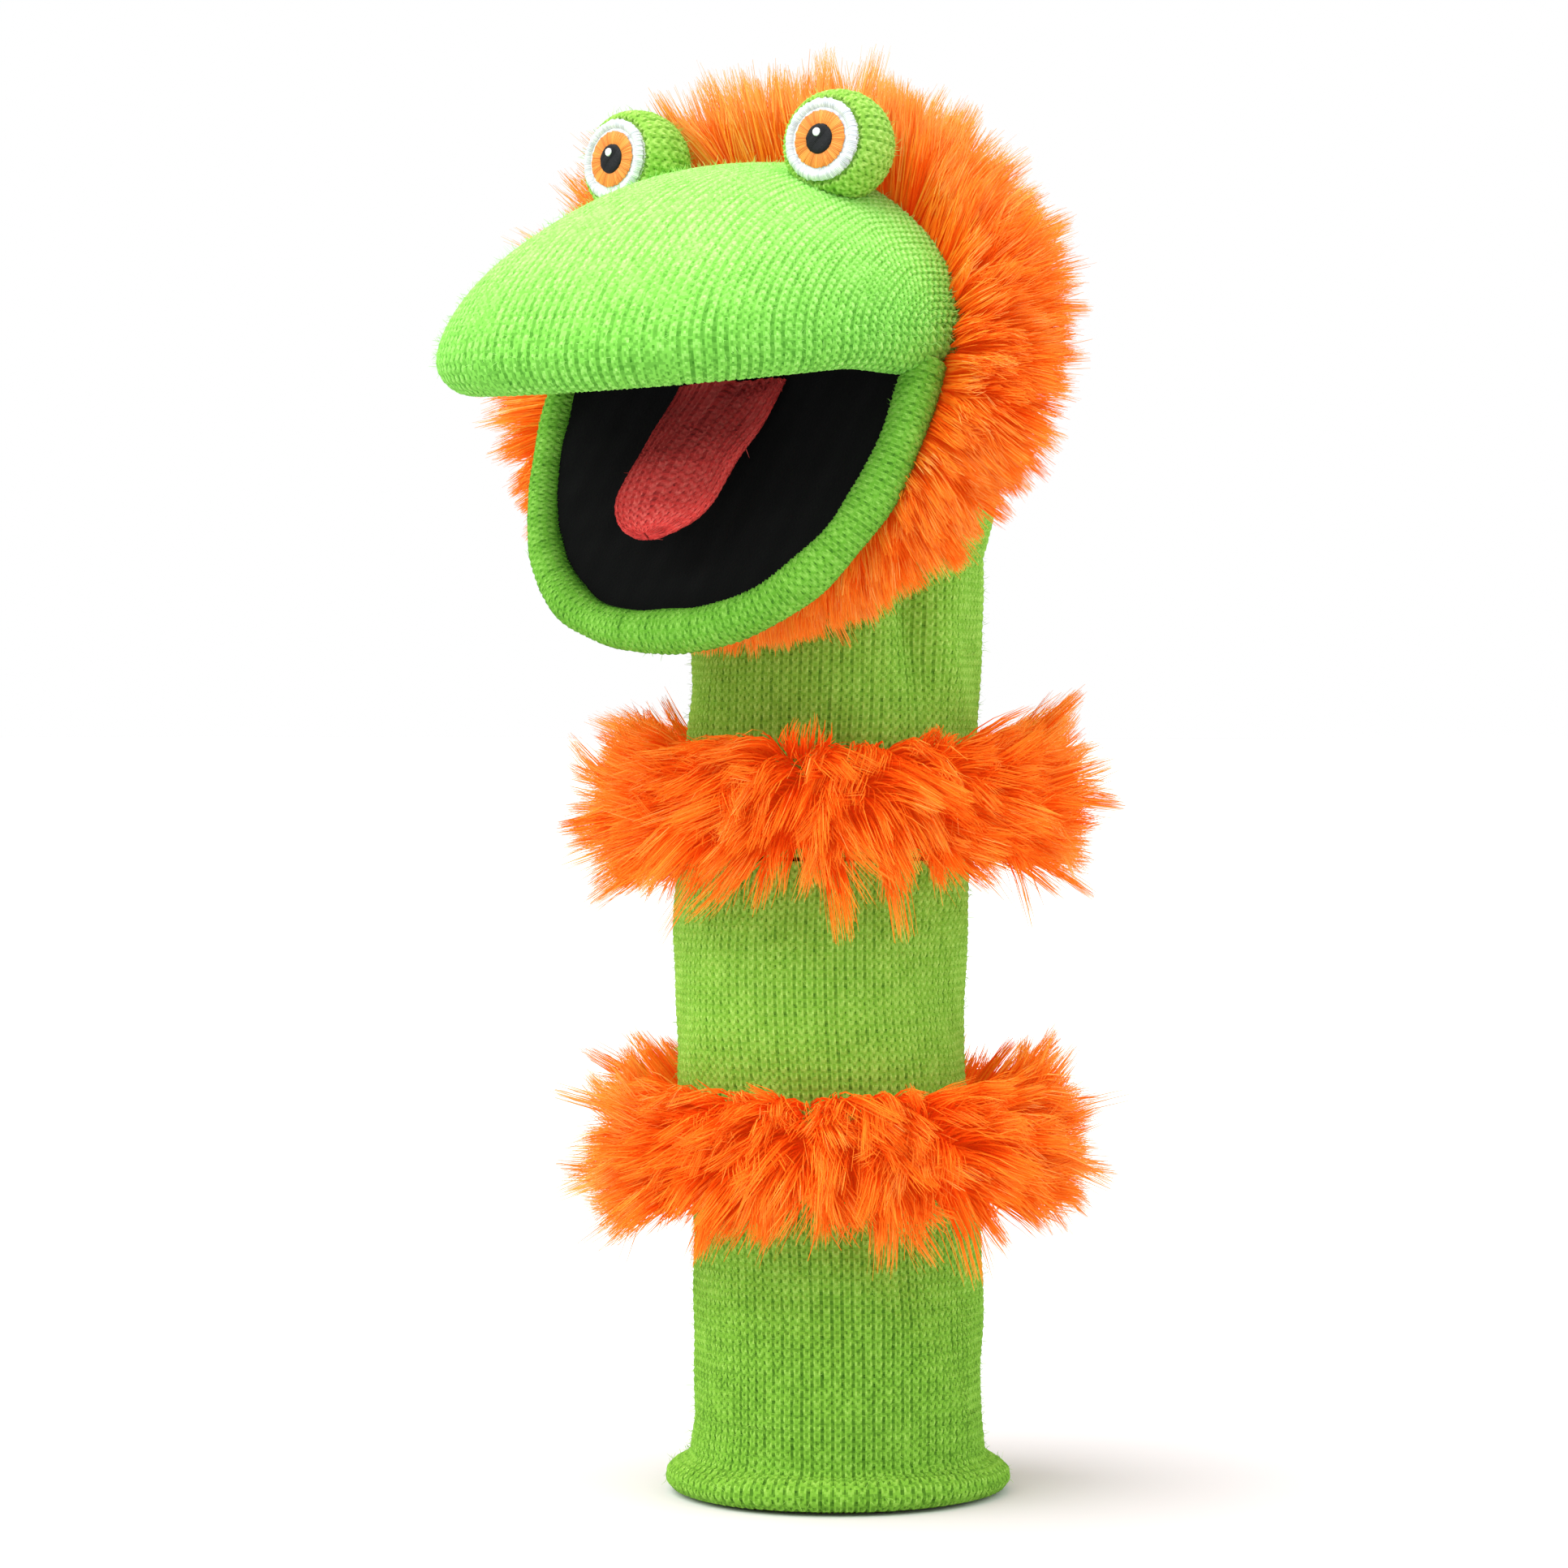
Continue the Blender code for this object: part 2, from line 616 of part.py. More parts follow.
def main():
    for old in list(bpy.data.objects):
        bpy.data.objects.remove(old, do_unlink=True)
    neck = (0.0, SLEEVE_Y, SPLIT_Z)
    head = (0.0, SLEEVE_Y, NOD_Z)
    mouth = (0.0, HINGE_Y, HINGE_Z)
    root = tuple(jaw_point(LOWER_PITCH, 0.0, TONGUE_S, GAP))

    hem()
    tube("sleeve_tube", HEM_TOP + GAP, SPLIT_Z - GAP, (0.0, 0.0, 0.0))
    band("lower_fur_band", LOWER_BAND_Z, (0.0, 0.0, 0.0))
    tube("neck_tube", SPLIT_Z, NECK_TOP, neck)
    band("upper_fur_band", UPPER_BAND_Z, neck)
    head_shell(head)
    mane(head)
    mouth_fold(head)
    beak(mouth)
    upper_plates(mouth)
    strap("finger_strap", UPPER_PITCH, 1.0, 0.030, 0.0185, 0.010, 0.032, mouth)
    lower_lip(mouth)
    chin(mouth)
    lower_plates(mouth)
    strap("thumb_strap", LOWER_PITCH, -1.0, 0.015, 0.0150, 0.020, 0.036, mouth)
    tongue(root)
    eye(1.0, "left", mouth)
    eye(-1.0, "right", mouth)


main()
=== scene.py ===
"""Looks of the knitted mouth puppet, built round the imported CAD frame.

Everything is in metres, in the frame of the CAD: the puppet faces -Y and stands on Z = 0.
Knitted skins are grids whose points are raised stitch by stitch, fur is made of real strands,
and every shade of a knit or a fur is a plain material given to the faces it belongs to.
"""
import math

import bpy
import numpy as np
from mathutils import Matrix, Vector


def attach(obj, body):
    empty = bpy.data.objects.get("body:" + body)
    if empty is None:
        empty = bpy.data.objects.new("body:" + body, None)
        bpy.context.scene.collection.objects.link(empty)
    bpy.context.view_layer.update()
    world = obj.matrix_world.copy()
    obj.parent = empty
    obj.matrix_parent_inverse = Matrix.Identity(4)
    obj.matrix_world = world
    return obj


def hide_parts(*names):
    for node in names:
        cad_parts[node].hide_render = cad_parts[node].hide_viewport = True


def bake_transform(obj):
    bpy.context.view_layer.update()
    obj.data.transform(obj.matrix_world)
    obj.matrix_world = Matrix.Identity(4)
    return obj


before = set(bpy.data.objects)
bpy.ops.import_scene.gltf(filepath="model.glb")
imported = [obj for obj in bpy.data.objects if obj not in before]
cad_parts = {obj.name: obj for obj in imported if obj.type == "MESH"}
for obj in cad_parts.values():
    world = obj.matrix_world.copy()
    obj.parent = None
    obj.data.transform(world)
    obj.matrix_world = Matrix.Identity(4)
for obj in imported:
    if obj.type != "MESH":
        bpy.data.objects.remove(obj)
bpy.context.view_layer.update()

# ---------------------------------------------------------------- sizes, after those of the CAD

SLEEVE_Y = 0.03265              # middle of the sleeve
TUBE_R = 0.0409                 # radius of the sleeve under its stitches
LOWER_BAND_Z = 0.097            # middle of the lower fur band
UPPER_BAND_Z = 0.193            # middle of the upper fur band
BAND_ROOT_R = 0.0428            # radius at which a band's strands begin
THROAT_Y = SLEEVE_Y - 0.046     # axis round which the tube bends forward to the face
THROAT_Z = 0.264
THROAT_R = 0.0020               # how far the inside of the bend is from that axis
ELBOW = math.radians(74.0)      # how far the tube bends
FACE_A = 0.0600                 # half width of the open end of the tube, behind the face
FACE_B = 0.0470                 # half height of it
MANE_TILT = math.radians(72.0)  # slope of the plane that the mane lies in
HINGE_Y = SLEEVE_Y - 0.046      # the mouth fold
HINGE_Z = 0.315
UPPER_PITCH = math.radians(8.0)     # how far each jaw's plane slopes down
LOWER_PITCH = math.radians(66.0)
JAW_W = 0.0680                  # half width of both jaws
BEAK_L = 0.0870                 # length of the beak from the fold
LIP_L = 0.0860                  # length of the lower jaw from the fold
PLAN_N = 2.4                    # roundness of the jaws' outline
BEAK_H = 0.0560                 # greatest height of the beak
BEAK_M = 1.65                   # roundness of the beak's section
BEAK_ROLL = 0.0090              # radius of the beak's rolled edge
CORNER_DROP = 0.0036            # how far that edge sinks at the mouth corners
BEAK_TAIL = 0.0140              # how far the beak goes back under the mane
LIP_R = 0.0060                  # radius of the lower lip
LIP_RISE = 0.07                 # how fast the lip rises from the fold
LOWER_FELT = (-0.0004, 0.0055)  # a lining's height over its jaw's plane, and its inset from the outline
UPPER_FELT = (0.0007, 0.0098)
TONGUE_S = 0.0160               # where the tongue is sewn on, from the fold
TONGUE_LIFT = math.radians(14.0)    # how far the tongue stands off the lower lining
TONGUE_L = 0.0465               # length from there to the tip
TONGUE_W = 0.0172               # half width of the tongue
TONGUE_ROOT = 0.0110            # length behind the sewn line
EYE_X = 0.0355                  # centre of the left eye's ball
EYE_Y = -0.0465 + SLEEVE_Y
EYE_Z = 0.3735
EYE_R = 0.0146                  # radius of the ball
EYE_FACE = 0.0084               # distance of its flat front from the centre
EYE_YAW = math.radians(5.0)     # how far the eye looks outwards
EYE_TILT = math.radians(5.0)    # and upwards
WHITE_R = 0.0096                # radii of the embroidery
BORDER_R = (0.0086, 0.0114)
IRIS_R = (0.0035, 0.0079)
PUPIL_R = 0.0043
HIGHLIGHT_R = 0.0012
HIGHLIGHT_SHIFT = (0.0006, 0.0018)

# ---------------------------------------------------------------- knit and fur

WALES_ROUND = 92                # stitches round the sleeve, each 2.8 mm wide
COURSE = 0.00255                # height of a stitch
TALL_COURSE = 0.0029            # the same on the lower lip and the eyes
TONGUE_COURSE = 0.0024          # and on the tongue
LIP_WALE = 0.00262              # width of a stitch on the lower lip
RELIEF = 0.00095                # how far a stitch stands out
ACROSS = 6                      # grid steps across a stitch
ALONG = 5.0                     # grid steps along a stitch
UNEVEN = (97, 89)               # wales, and half stitches along them, after which unevenness repeats
FUZZ_WIDTH = 0.00006            # half the width of a loose fibre
FUZZ_LOWEST = -0.40             # upward part of the normal below which no loose fibre is put

STRANDS = 24500                 # in each band and each half of the mane
STRANDS_IN_LOCK = 42
STRAND_STEPS = 5                # points along a strand
STRAND_WIDTH = 0.00055
STRAND_CURL = 0.09              # how much a strand bends, as a share of its length
WIDEST = 0.0930                 # beyond this distance from the middle the tips curl in
MANE_A = 0.0612                 # half width of the mane's root line
MANE_B = 0.0498                 # half height of it

THREAD_STEP = 0.00042           # spacing of the threads of straight satin stitch
THREAD_RISE = 0.00016           # how far each thread stands out

# ---------------------------------------------------------------- camera

CAMERA_AZIMUTH = math.radians(37.0)
CAMERA_RISE = math.radians(0.5)
CAMERA_DISTANCE = 1.3
CAMERA_AIM = 0.205              # height that the camera is aimed at
CAMERA_SENSOR = 36.0
CAMERA_LENS = 105.130435
CAMERA_SHIFT = (-0.0341615, -0.0113872)
IMAGE_RIGHT = CAMERA_AZIMUTH    # turn round the sleeve that is at the right of the camera's view
FRONT = CAMERA_AZIMUTH - math.radians(90.0)     # turn that faces the camera


# ---------------------------------------------------------------- meshes and materials

def linear(red, green, blue):
    """A screen colour, 0 to 255, as linear light."""
    out = []
    for value in (red, green, blue):
        v = value / 255.0
        out.append(v / 12.92 if v <= 0.04045 else ((v + 0.055) / 1.055) ** 2.4)
    return (*out, 1.0)


def shader_of(material):
    return material.node_tree.nodes["Principled BSDF"]


def plain(name, colour, roughness=0.85, sheen=0.0, sheen_tint=None, specular=0.3, grain=0.0):
    """A fabric's material: one colour, a sheen, and a fine unevenness where grain, its scale, is given."""
    made = bpy.data.materials.new(name)
    made.use_nodes = True
    shader = shader_of(made)
    shader.inputs["Base Color"].default_value = colour
    shader.inputs["Roughness"].default_value = roughness
    shader.inputs["Sheen Weight"].default_value = sheen
    shader.inputs["Sheen Roughness"].default_value = 0.5
    if sheen_tint:
        shader.inputs["Sheen Tint"].default_value = sheen_tint
    shader.inputs["Specular IOR Level"].default_value = specular
    if grain:
        nodes = made.node_tree.nodes
        links = made.node_tree.links
        noise = nodes.new("ShaderNodeTexNoise")
        noise.inputs["Scale"].default_value = grain
        noise.inputs["Detail"].default_value = 4.0
        bump = nodes.new("ShaderNodeBump")
        bump.inputs["Strength"].default_value = 0.35
        bump.inputs["Distance"].default_value = 0.0004
        place = nodes.new("ShaderNodeTexCoord")
        links.new(place.outputs["Object"], noise.inputs["Vector"])
        links.new(noise.outputs["Fac"], bump.inputs["Height"])
        links.new(bump.outputs["Normal"], shader.inputs["Normal"])
    return made


def shades(name, stops, roughness=0.85, sheen=0.0, specular=0.3, grain=0.0):
    """A row of plain materials from the first screen colour to the last."""
    tint = linear(*stops[-1])
    return [plain(f"{name}_{k}", linear(*stop), roughness, sheen, tint, specular, grain)
            for k, stop in enumerate(stops)]


def painted_glow(materials, colour, strength):
    """Painted glow: a little emitted light of the fur's own colour, standing in for the light its fibres pass
    on to each other.
    """
    for material in materials:
        shader = shader_of(material)
        shader.inputs["Emission Color"].default_value = colour
        shader.inputs["Emission Strength"].default_value = strength


def ramp(first, last, count, middle=None):
    """Screen colours between two or three given ones."""
    stops = [first, middle, last] if middle else [first, last]
    places = np.linspace(0.0, len(stops) - 1.0, count)
    table = np.array(stops, float)
    return [tuple(np.array([np.interp(p, range(len(stops)), table[:, c]) for c in range(3)])) for p in places]


def waves(a, b, seed, scale, count=7):
    """Smooth noise of about unit size over two coordinates."""
    rng = np.random.default_rng(seed)
    total = np.zeros(np.broadcast(a, b).shape)
    for _ in range(count):
        turn = rng.uniform(0.0, 2.0 * math.pi)
        size = rng.uniform(0.6, 1.6) / scale
        shift = rng.uniform(0.0, 2.0 * math.pi)
        total += np.sin((a * math.cos(turn) + b * math.sin(turn)) * size * 2.0 * math.pi + shift)
    return total / math.sqrt(count)


def unit(v):
    return v / np.maximum(np.linalg.norm(v, axis=-1, keepdims=True), 1e-9)


def smooth(t):
    """An even step from 0 to 1."""
    t = np.clip(t, 0.0, 1.0)
    return t * t * (3.0 - 2.0 * t)


def wrapped(turn):
    """An angle brought to between minus half a turn and half a turn."""
    return (turn + math.pi) % (2.0 * math.pi) - math.pi


def stitch(wale, course):
    """Height of stockinette at wale and course numbers, from 0 in the grooves to 1 on the yarn."""
    x = wale - np.floor(wale)
    t = 1.0 - np.abs(2.0 * x - 1.0)
    phase = course + t
    across = np.clip(np.sin(math.pi * (0.05 + 0.80 * t)), 0.0, 1.0) ** 0.75
    strand = np.abs(np.sin(math.pi * phase)) ** 0.8
    return across * (0.22 + 0.78 * strand)


def stitch_number(wale, course):
    """Which wale and which half stitch along it a place belongs to."""
    x = wale - np.floor(wale)
    t = 1.0 - np.abs(2.0 * x - 1.0)
    return np.floor(wale).astype(int), 2 * np.floor(course + t).astype(int) + (x > 0.5)


def normals_of(points, wrap=False):
    """Unit normals of a grid of points."""
    if wrap:
        along = np.roll(points, -1, 1) - np.roll(points, 1, 1)
    else:
        along = np.gradient(points, axis=1)
    up = np.gradient(points, axis=0)
    normal = np.cross(along, up)
    size = np.linalg.norm(normal, axis=2, keepdims=True)
    return normal / np.maximum(size, 1e-12)


def mesh_object(name, points, quads, shade, materials, smooth=True):
    """An object from points, four- or three-cornered faces and a material number for each face."""
    points = np.asarray(points, float).reshape(-1, 3)
    quads = np.asarray(quads, np.int32)
    corners = quads.shape[1]
    mesh = bpy.data.meshes.new(name)
    mesh.vertices.add(len(points))
    mesh.vertices.foreach_set("co", points.ravel())
    mesh.loops.add(quads.size)
    mesh.loops.foreach_set("vertex_index", quads.ravel())
    mesh.polygons.add(len(quads))
    mesh.polygons.foreach_set("loop_start", np.arange(len(quads), dtype=np.int32) * corners)
    mesh.polygons.foreach_set("loop_total", np.full(len(quads), corners, np.int32))
    for material in materials:
        mesh.materials.append(material)
    if shade is not None:
        mesh.polygons.foreach_set("material_index", np.asarray(shade, np.int32).ravel())
    mesh.polygons.foreach_set("use_smooth", np.full(len(quads), smooth))
    mesh.update(calc_edges=True)
    mesh.validate()
    made = bpy.data.objects.new(name, mesh)
    bpy.context.scene.collection.objects.link(made)
    return made


def grid_quads(rows, columns, wrap):
    """The faces between the points of a grid."""
    i, j = np.meshgrid(np.arange(rows - 1), np.arange(columns if wrap else columns - 1), indexing="ij")
    after = (j + 1) % columns
    return np.stack([i * columns + j, i * columns + after,
                     (i + 1) * columns + after, (i + 1) * columns + j], -1).reshape(-1, 4)


def face_mean(values, wrap):
    """A grid of point values as a grid of face values."""
    if wrap:
        side = np.roll(values, -1, 1)
        both = 0.5 * (values + side)
    else:
        both = 0.5 * (values[:, :-1] + values[:, 1:])
    return 0.5 * (both[:-1] + both[1:])


def fuzz_ribbons(roots, normals, rng):
    """Loose fibres that stand off the yarn: two thin quads each."""
    count = len(roots)
    length = rng.uniform(0.0009, 0.0026, (count, 1))
    way = unit(normals + rng.normal(0.0, 0.75, (count, 3)))
    bend = rng.normal(0.0, 0.5, (count, 3))
    middle = roots + way * length * 0.5
    tip = roots + way * length + bend * length * 0.35
    side = unit(np.cross(way, rng.normal(0.0, 1.0, (count, 3)))) * FUZZ_WIDTH
    points = np.stack([roots - side, roots + side, middle - side, middle + side,
                       tip - 0.3 * side, tip + 0.3 * side], 1)
    base = (np.arange(count) * 6)[:, None, None]
    quads = base + np.array([[0, 1, 3, 2], [2, 3, 5, 4]])[None]
    return points.reshape(-1, 3), quads.reshape(-1, 4)


def knit_object(name, points, wale, course, materials, wrap, seed, relief=RELIEF, shadow=None,
                outward=1.0, fuzz=0):
    """A knitted skin on a grid of points with a wale and a course number at each.

    outward is -1 where the grid's own normals point inwards, shadow is painted shade that darkens the yarn
    from 0 to 1 and painted light below 0, and fuzz is the number of loose fibres.
    """
    rng = np.random.default_rng(seed)
    wobble_w = wale + 0.05 * waves(wale, course, seed + 1, 9.0)
    wobble_c = course + 0.08 * waves(wale, course, seed + 2, 9.0)
    height = stitch(wobble_w, wobble_c)
    loose = rng.uniform(0.88, 1.0, UNEVEN)
    tone = rng.uniform(-1.0, 1.0, UNEVEN)
    a, b = stitch_number(wobble_w, wobble_c)
    own = (a % UNEVEN[0], b % UNEVEN[1])
    height = height * loose[own]
    normal = normals_of(points, wrap) * outward
    raised = points + normal * (height * relief)[..., None]
    # Each face is painted darker the lower it lies between the stitches: painted shade in the grooves, with a
    # random tone per stitch.
    level = face_mean(height, wrap)
    tint = face_mean(tone[own], wrap)
    value = 1.12 * level - 0.05 + 0.07 * tint + rng.uniform(-0.04, 0.04, level.shape)
    # Painted shade: the yarn is painted darker by shadow, and lighter where shadow is below 0.
    if shadow is not None:
        value = value - face_mean(shadow, wrap)
    count = len(materials)
    shade = np.clip(np.floor(value * count), 0, count - 1)
    quads = grid_quads(points.shape[0], points.shape[1], wrap)
    if outward < 0.0:
        quads = quads[:, ::-1]
    raised = raised.reshape(-1, 3)
    shade = shade.ravel()
    if fuzz:
        normal = normal.reshape(-1, 3)
        chosen = rng.choice(len(raised), fuzz, replace=False)
        chosen = chosen[normal[chosen, 2] > FUZZ_LOWEST]
        fibres, more = fuzz_ribbons(raised[chosen], normal[chosen], rng)
        quads = np.vstack([quads, more + len(raised)])
        raised = np.vstack([raised, fibres])
        shade = np.concatenate([shade, np.full(len(more), count - 2)])
    return mesh_object(name, raised, quads, shade, materials)


# ---------------------------------------------------------------- colours

def painted_knit_shades(name, dark, middle, light):
    """Seven lit and shaded copies of a yarn's colour: painted shade in the grooves, lit at the top of the
    stitch.
    """
    return shades(name, ramp(dark, light, 7, middle), 0.9, 0.12, 0.15, 2600.0)


GREEN = painted_knit_shades("knit_green", (56, 102, 18), (124, 182, 56), (174, 222, 104))
LIME = painted_knit_shades("knit_lime", (64, 132, 34), (128, 208, 80), (192, 246, 144))
LIP = painted_knit_shades("knit_lip", (40, 92, 16), (104, 172, 50), (158, 216, 98))
RED = painted_knit_shades("knit_red", (112, 24, 26), (222, 66, 62), (250, 120, 110))
GREEN_EYE = painted_knit_shades("knit_eye", (64, 114, 24), (136, 192, 70), (194, 234, 124))
FUR = shades("fur", [(255, 84, 2), (255, 100, 8), (255, 114, 16), (255, 130, 28), (255, 146, 42),
                     (255, 164, 64), (255, 186, 98)], 0.8, 0.0, 0.1, 900.0)
FUR_CORE = plain("fur_core", linear(255, 92, 6), 0.9, grain=900.0)
# Painted glow: the fur and its core give off a little light of their own.
painted_glow(FUR + [FUR_CORE], (1.0, 0.22, 0.012, 1.0), 0.075)
FELT = plain("felt", linear(9, 10, 10), 0.95, 0.05, specular=0.05, grain=1500.0)
THREAD_WHITE = shades("thread_white", ramp((176, 182, 190), (246, 248, 252), 5), 0.55, 0.1, 0.4, 2400.0)
THREAD_ORANGE = shades("thread_orange", ramp((196, 92, 20), (255, 172, 78), 5), 0.5, 0.1, 0.3, 2400.0)
THREAD_DARK = shades("thread_dark", ramp((6, 7, 9), (30, 32, 36), 5), 0.5, 0.03, 0.2, 2400.0)


# ---------------------------------------------------------------- sleeve, neck and hem

def sleeve_radius(turn, z):
    """Radius of the sleeve with its soft swells and the crease of the neck."""
    bend = waves(np.cos(turn) * 0.05 + z * 0.2, np.sin(turn) * 0.05 + z, 11, 0.09)
    dent = waves(np.cos(turn) * 0.05 - z * 0.1, np.sin(turn) * 0.05 + z, 12, 0.04)
    swell = -0.0004 + 0.0011 * bend + 0.0004 * dent
    crease = np.exp(-((wrapped(turn + 0.40 + (z - 0.24) * 3.0)) / 0.13) ** 2)
    ridge = np.exp(-((wrapped(turn + 0.04 + (z - 0.24) * 3.0)) / 0.20) ** 2)
    high = smooth((z - 0.212) / 0.03)
    return TUBE_R + swell + high * (0.0024 * ridge - 0.0040 * crease)


def sleeve_lean(z):
    """How far the hanging tube wanders sideways, seen from the front."""
    return -0.0050 * np.exp(-((z - 0.150) / 0.055) ** 2)


def on_sleeve(radius, turn, z):
    """Points at a radius from the sleeve's own middle line."""
    lean = sleeve_lean(z)
    return np.stack([radius * np.cos(turn) + lean * math.cos(IMAGE_RIGHT),
                     SLEEVE_Y + radius * np.sin(turn) + lean * math.sin(IMAGE_RIGHT), z + 0.0 * turn], -1)


def sleeve_section(name, low, high, seed):
    """The knit of the sleeve between two heights."""
    rows = int(round((high - low) / COURSE * ALONG))
    columns = WALES_ROUND * ACROSS
    turn = np.linspace(0.0, 2.0 * math.pi, columns, endpoint=False)[None, :]
    z = (low + COURSE / ALONG * np.arange(rows))[:, None]
    radius = sleeve_radius(turn, z)
    wale = np.broadcast_to(turn / (2.0 * math.pi) * WALES_ROUND, radius.shape)
    course = np.broadcast_to(z / COURSE, radius.shape)
    # The knit is painted darker towards the foot: painted shade.
    return knit_object(name, on_sleeve(radius, turn, z), wale, course, GREEN, True, seed, fuzz=2800,
                       shadow=painted_low_shade(z) + 0.0 * radius)


def painted_low_shade(z):
    """Painted shade: the knit is painted a little darker towards the foot."""
    return 0.13 * smooth((0.085 - z) / 0.05)


def curve_points(knots, count):
    """Evenly spaced points on a smooth curve through the knots."""
    knots = np.asarray(knots, float)
    ends = np.vstack([2 * knots[0] - knots[1], knots, 2 * knots[-1] - knots[-2]])
    dense = []
    for k in range(1, len(ends) - 2):
        t = np.linspace(0.0, 1.0, 24, endpoint=False)[:, None]
        p0, p1, p2, p3 = ends[k - 1:k + 3]
        dense.append(0.5 * ((2 * p1) + (p2 - p0) * t + (2 * p0 - 5 * p1 + 4 * p2 - p3) * t ** 2
                            + (3 * p1 - p0 - 3 * p2 + p3) * t ** 3))
    dense.append(ends[-2][None, :])
    return resample(np.vstack(dense), count)


def resample(line, count):
    """Points of a polyline, evenly spaced along it."""
    steps = np.linalg.norm(np.diff(line, axis=0), axis=1)
    length = np.concatenate([[0.0], np.cumsum(steps)])
    places = np.linspace(0.0, length[-1], count)
    return np.stack([np.interp(places, length, line[:, c]) for c in range(line.shape[1])], -1)


def hem():
    """The rolled hem: a profile from inside the sleeve, out under the roll and up to the sleeve."""
    knots = [(0.0394, 0.0200), (0.0394, 0.0090), (0.0400, 0.0028), (0.0426, 0.0010), (0.0456, 0.0010),
             (0.0475, 0.0022), (0.0480, 0.0044), (0.0470, 0.0065), (0.0447, 0.0080), (0.0423, 0.0093),
             (0.0411, 0.0114), (0.0409, 0.0150), (0.0408, 0.0235)]
    profile = curve_points(knots, 92)
    columns = WALES_ROUND * ACROSS
    turn = np.linspace(0.0, 2.0 * math.pi, columns, endpoint=False)[None, :]
    radius = profile[:, 0][:, None] + 0.0 * turn
    z = profile[:, 1][:, None] + 0.0 * turn
    flare = smooth((radius - 0.0415) / 0.005)
    wavy = waves(np.cos(turn), np.sin(turn), 5, 1.7)
    swell = (sleeve_radius(turn, 0.02) - TUBE_R) * smooth((z - 0.012) / 0.01)
    radius = radius + flare * 0.0007 * wavy + swell
    z = z * (1.0 + 0.10 * waves(np.cos(turn), np.sin(turn), 9, 1.2) * flare)
    points = np.stack([radius * np.cos(turn), SLEEVE_Y + radius * np.sin(turn), z], -1)
    steps = np.linalg.norm(np.diff(profile, axis=0), axis=1)
    run = np.concatenate([[0.0], np.cumsum(steps)])
    course = ((run - run[-1] + profile[-1, 1]) / COURSE)[:, None] + 0.0 * turn
    wale = np.broadcast_to(turn / (2.0 * math.pi) * WALES_ROUND, radius.shape)
    # The whole hem is painted a little darker, with the painted shade of the foot.
    made = knit_object("hem_knit", points, wale, course, GREEN, True, 41, fuzz=2000,
                       shadow=painted_low_shade(0.0) + 0.0 * radius)
    lowest = min(v.co.z for v in made.data.vertices)
    for v in made.data.vertices:
        v.co.z -= lowest * smooth(1.0 - v.co.z / 0.02)
    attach(made, "sleeve")
    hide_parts("hem_cuff")


def sleeve():
    """The knit under and over the lower fur band."""
    for name, low, high, seed in (("sleeve_knit_low", 0.0225, 0.092, 41),
                                  ("sleeve_knit_middle", 0.098, 0.1795, 42)):
        made = sleeve_section(name, low, high, seed)
        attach(made, "sleeve")
        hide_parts("sleeve_tube")


def neck():
    """The knit from the upper fur band up the neck to the throat."""
    made = sleeve_section("neck_knit", 0.1802, THROAT_Z + 0.0012, 43)
    blend_neck(made)
    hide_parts("neck_tube")


def blend_neck(made):
    """Bake the placement of a piece of the tube into its points."""
    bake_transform(made)


def head():
    """The knit from the throat round the back of the head to the face."""
    columns = WALES_ROUND * ACROSS
    turn = np.linspace(0.0, 2.0 * math.pi, columns, endpoint=False)[None, :]
    rows = 150
    t = np.linspace(0.0, 1.0, rows)[:, None]
    ease = np.sin(0.5 * math.pi * t)
    start = sleeve_radius(turn, THROAT_Z)
    a = start + (FACE_A - start) * ease
    b = start + (FACE_B - start) * ease
    first = SLEEVE_Y - THROAT_Y
    middle = first + (FACE_B + THROAT_R - first) * ease
    angle = ELBOW * t
    reach = middle + b * np.sin(turn)
    y = THROAT_Y + reach * np.cos(angle)
    z = THROAT_Z + reach * np.sin(angle)
    points = np.stack([a * np.cos(turn), y, z], -1)
    wale = np.broadcast_to(turn / (2.0 * math.pi) * WALES_ROUND, points.shape[:2])
    steps = np.linalg.norm(np.diff(points[:, columns // 4], axis=0), axis=1)
    course = ((THROAT_Z + np.concatenate([[0.0], np.cumsum(steps)])) / COURSE)[:, None] + 0.0 * turn
    made = knit_object("head_knit", points, wale, course, GREEN, True, 44)
    blend_neck(made)
    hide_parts("head_back")


# ---------------------------------------------------------------- jaws

def jaw_points(pitch, x, s, h):
    """Points at s along a jaw's plane from the hinge and h above it."""
    return np.stack([x + 0.0 * s, HINGE_Y - s * math.cos(pitch) - h * math.sin(pitch),
                     HINGE_Z - s * math.sin(pitch) + h * math.cos(pitch)], -1)


def plan_points(turn, half_width, length):
    """The outline of a jaw seen from above."""
    c = np.cos(turn)
    s = np.sin(turn)
    r = (np.abs(c) ** PLAN_N + np.abs(s) ** PLAN_N) ** (-1.0 / PLAN_N)
    return half_width * r * c, length * r * s


def even_turns(count, half_width, length):
    """Angles that divide the outline of a jaw into equal lengths."""
    dense = np.linspace(0.0, math.pi, 3000)
    x, s = plan_points(dense, half_width, length)
    run = np.concatenate([[0.0], np.cumsum(np.hypot(np.diff(x), np.diff(s)))])
    return np.interp(np.linspace(0.0, run[-1], count), run, dense), run[-1]


def beak_height(x, s):
    """Height of the top of the beak over the plane of the upper jaw."""
    reach = (np.abs(x) / JAW_W) ** PLAN_N + (np.maximum(s, 0.0) / BEAK_L) ** PLAN_N
    level = 1.0 - np.minimum(reach, 1.0) ** (BEAK_M / PLAN_N)
    return BEAK_ROLL + (BEAK_H - BEAK_ROLL) * np.maximum(level, 0.0) ** (1.0 / BEAK_M)


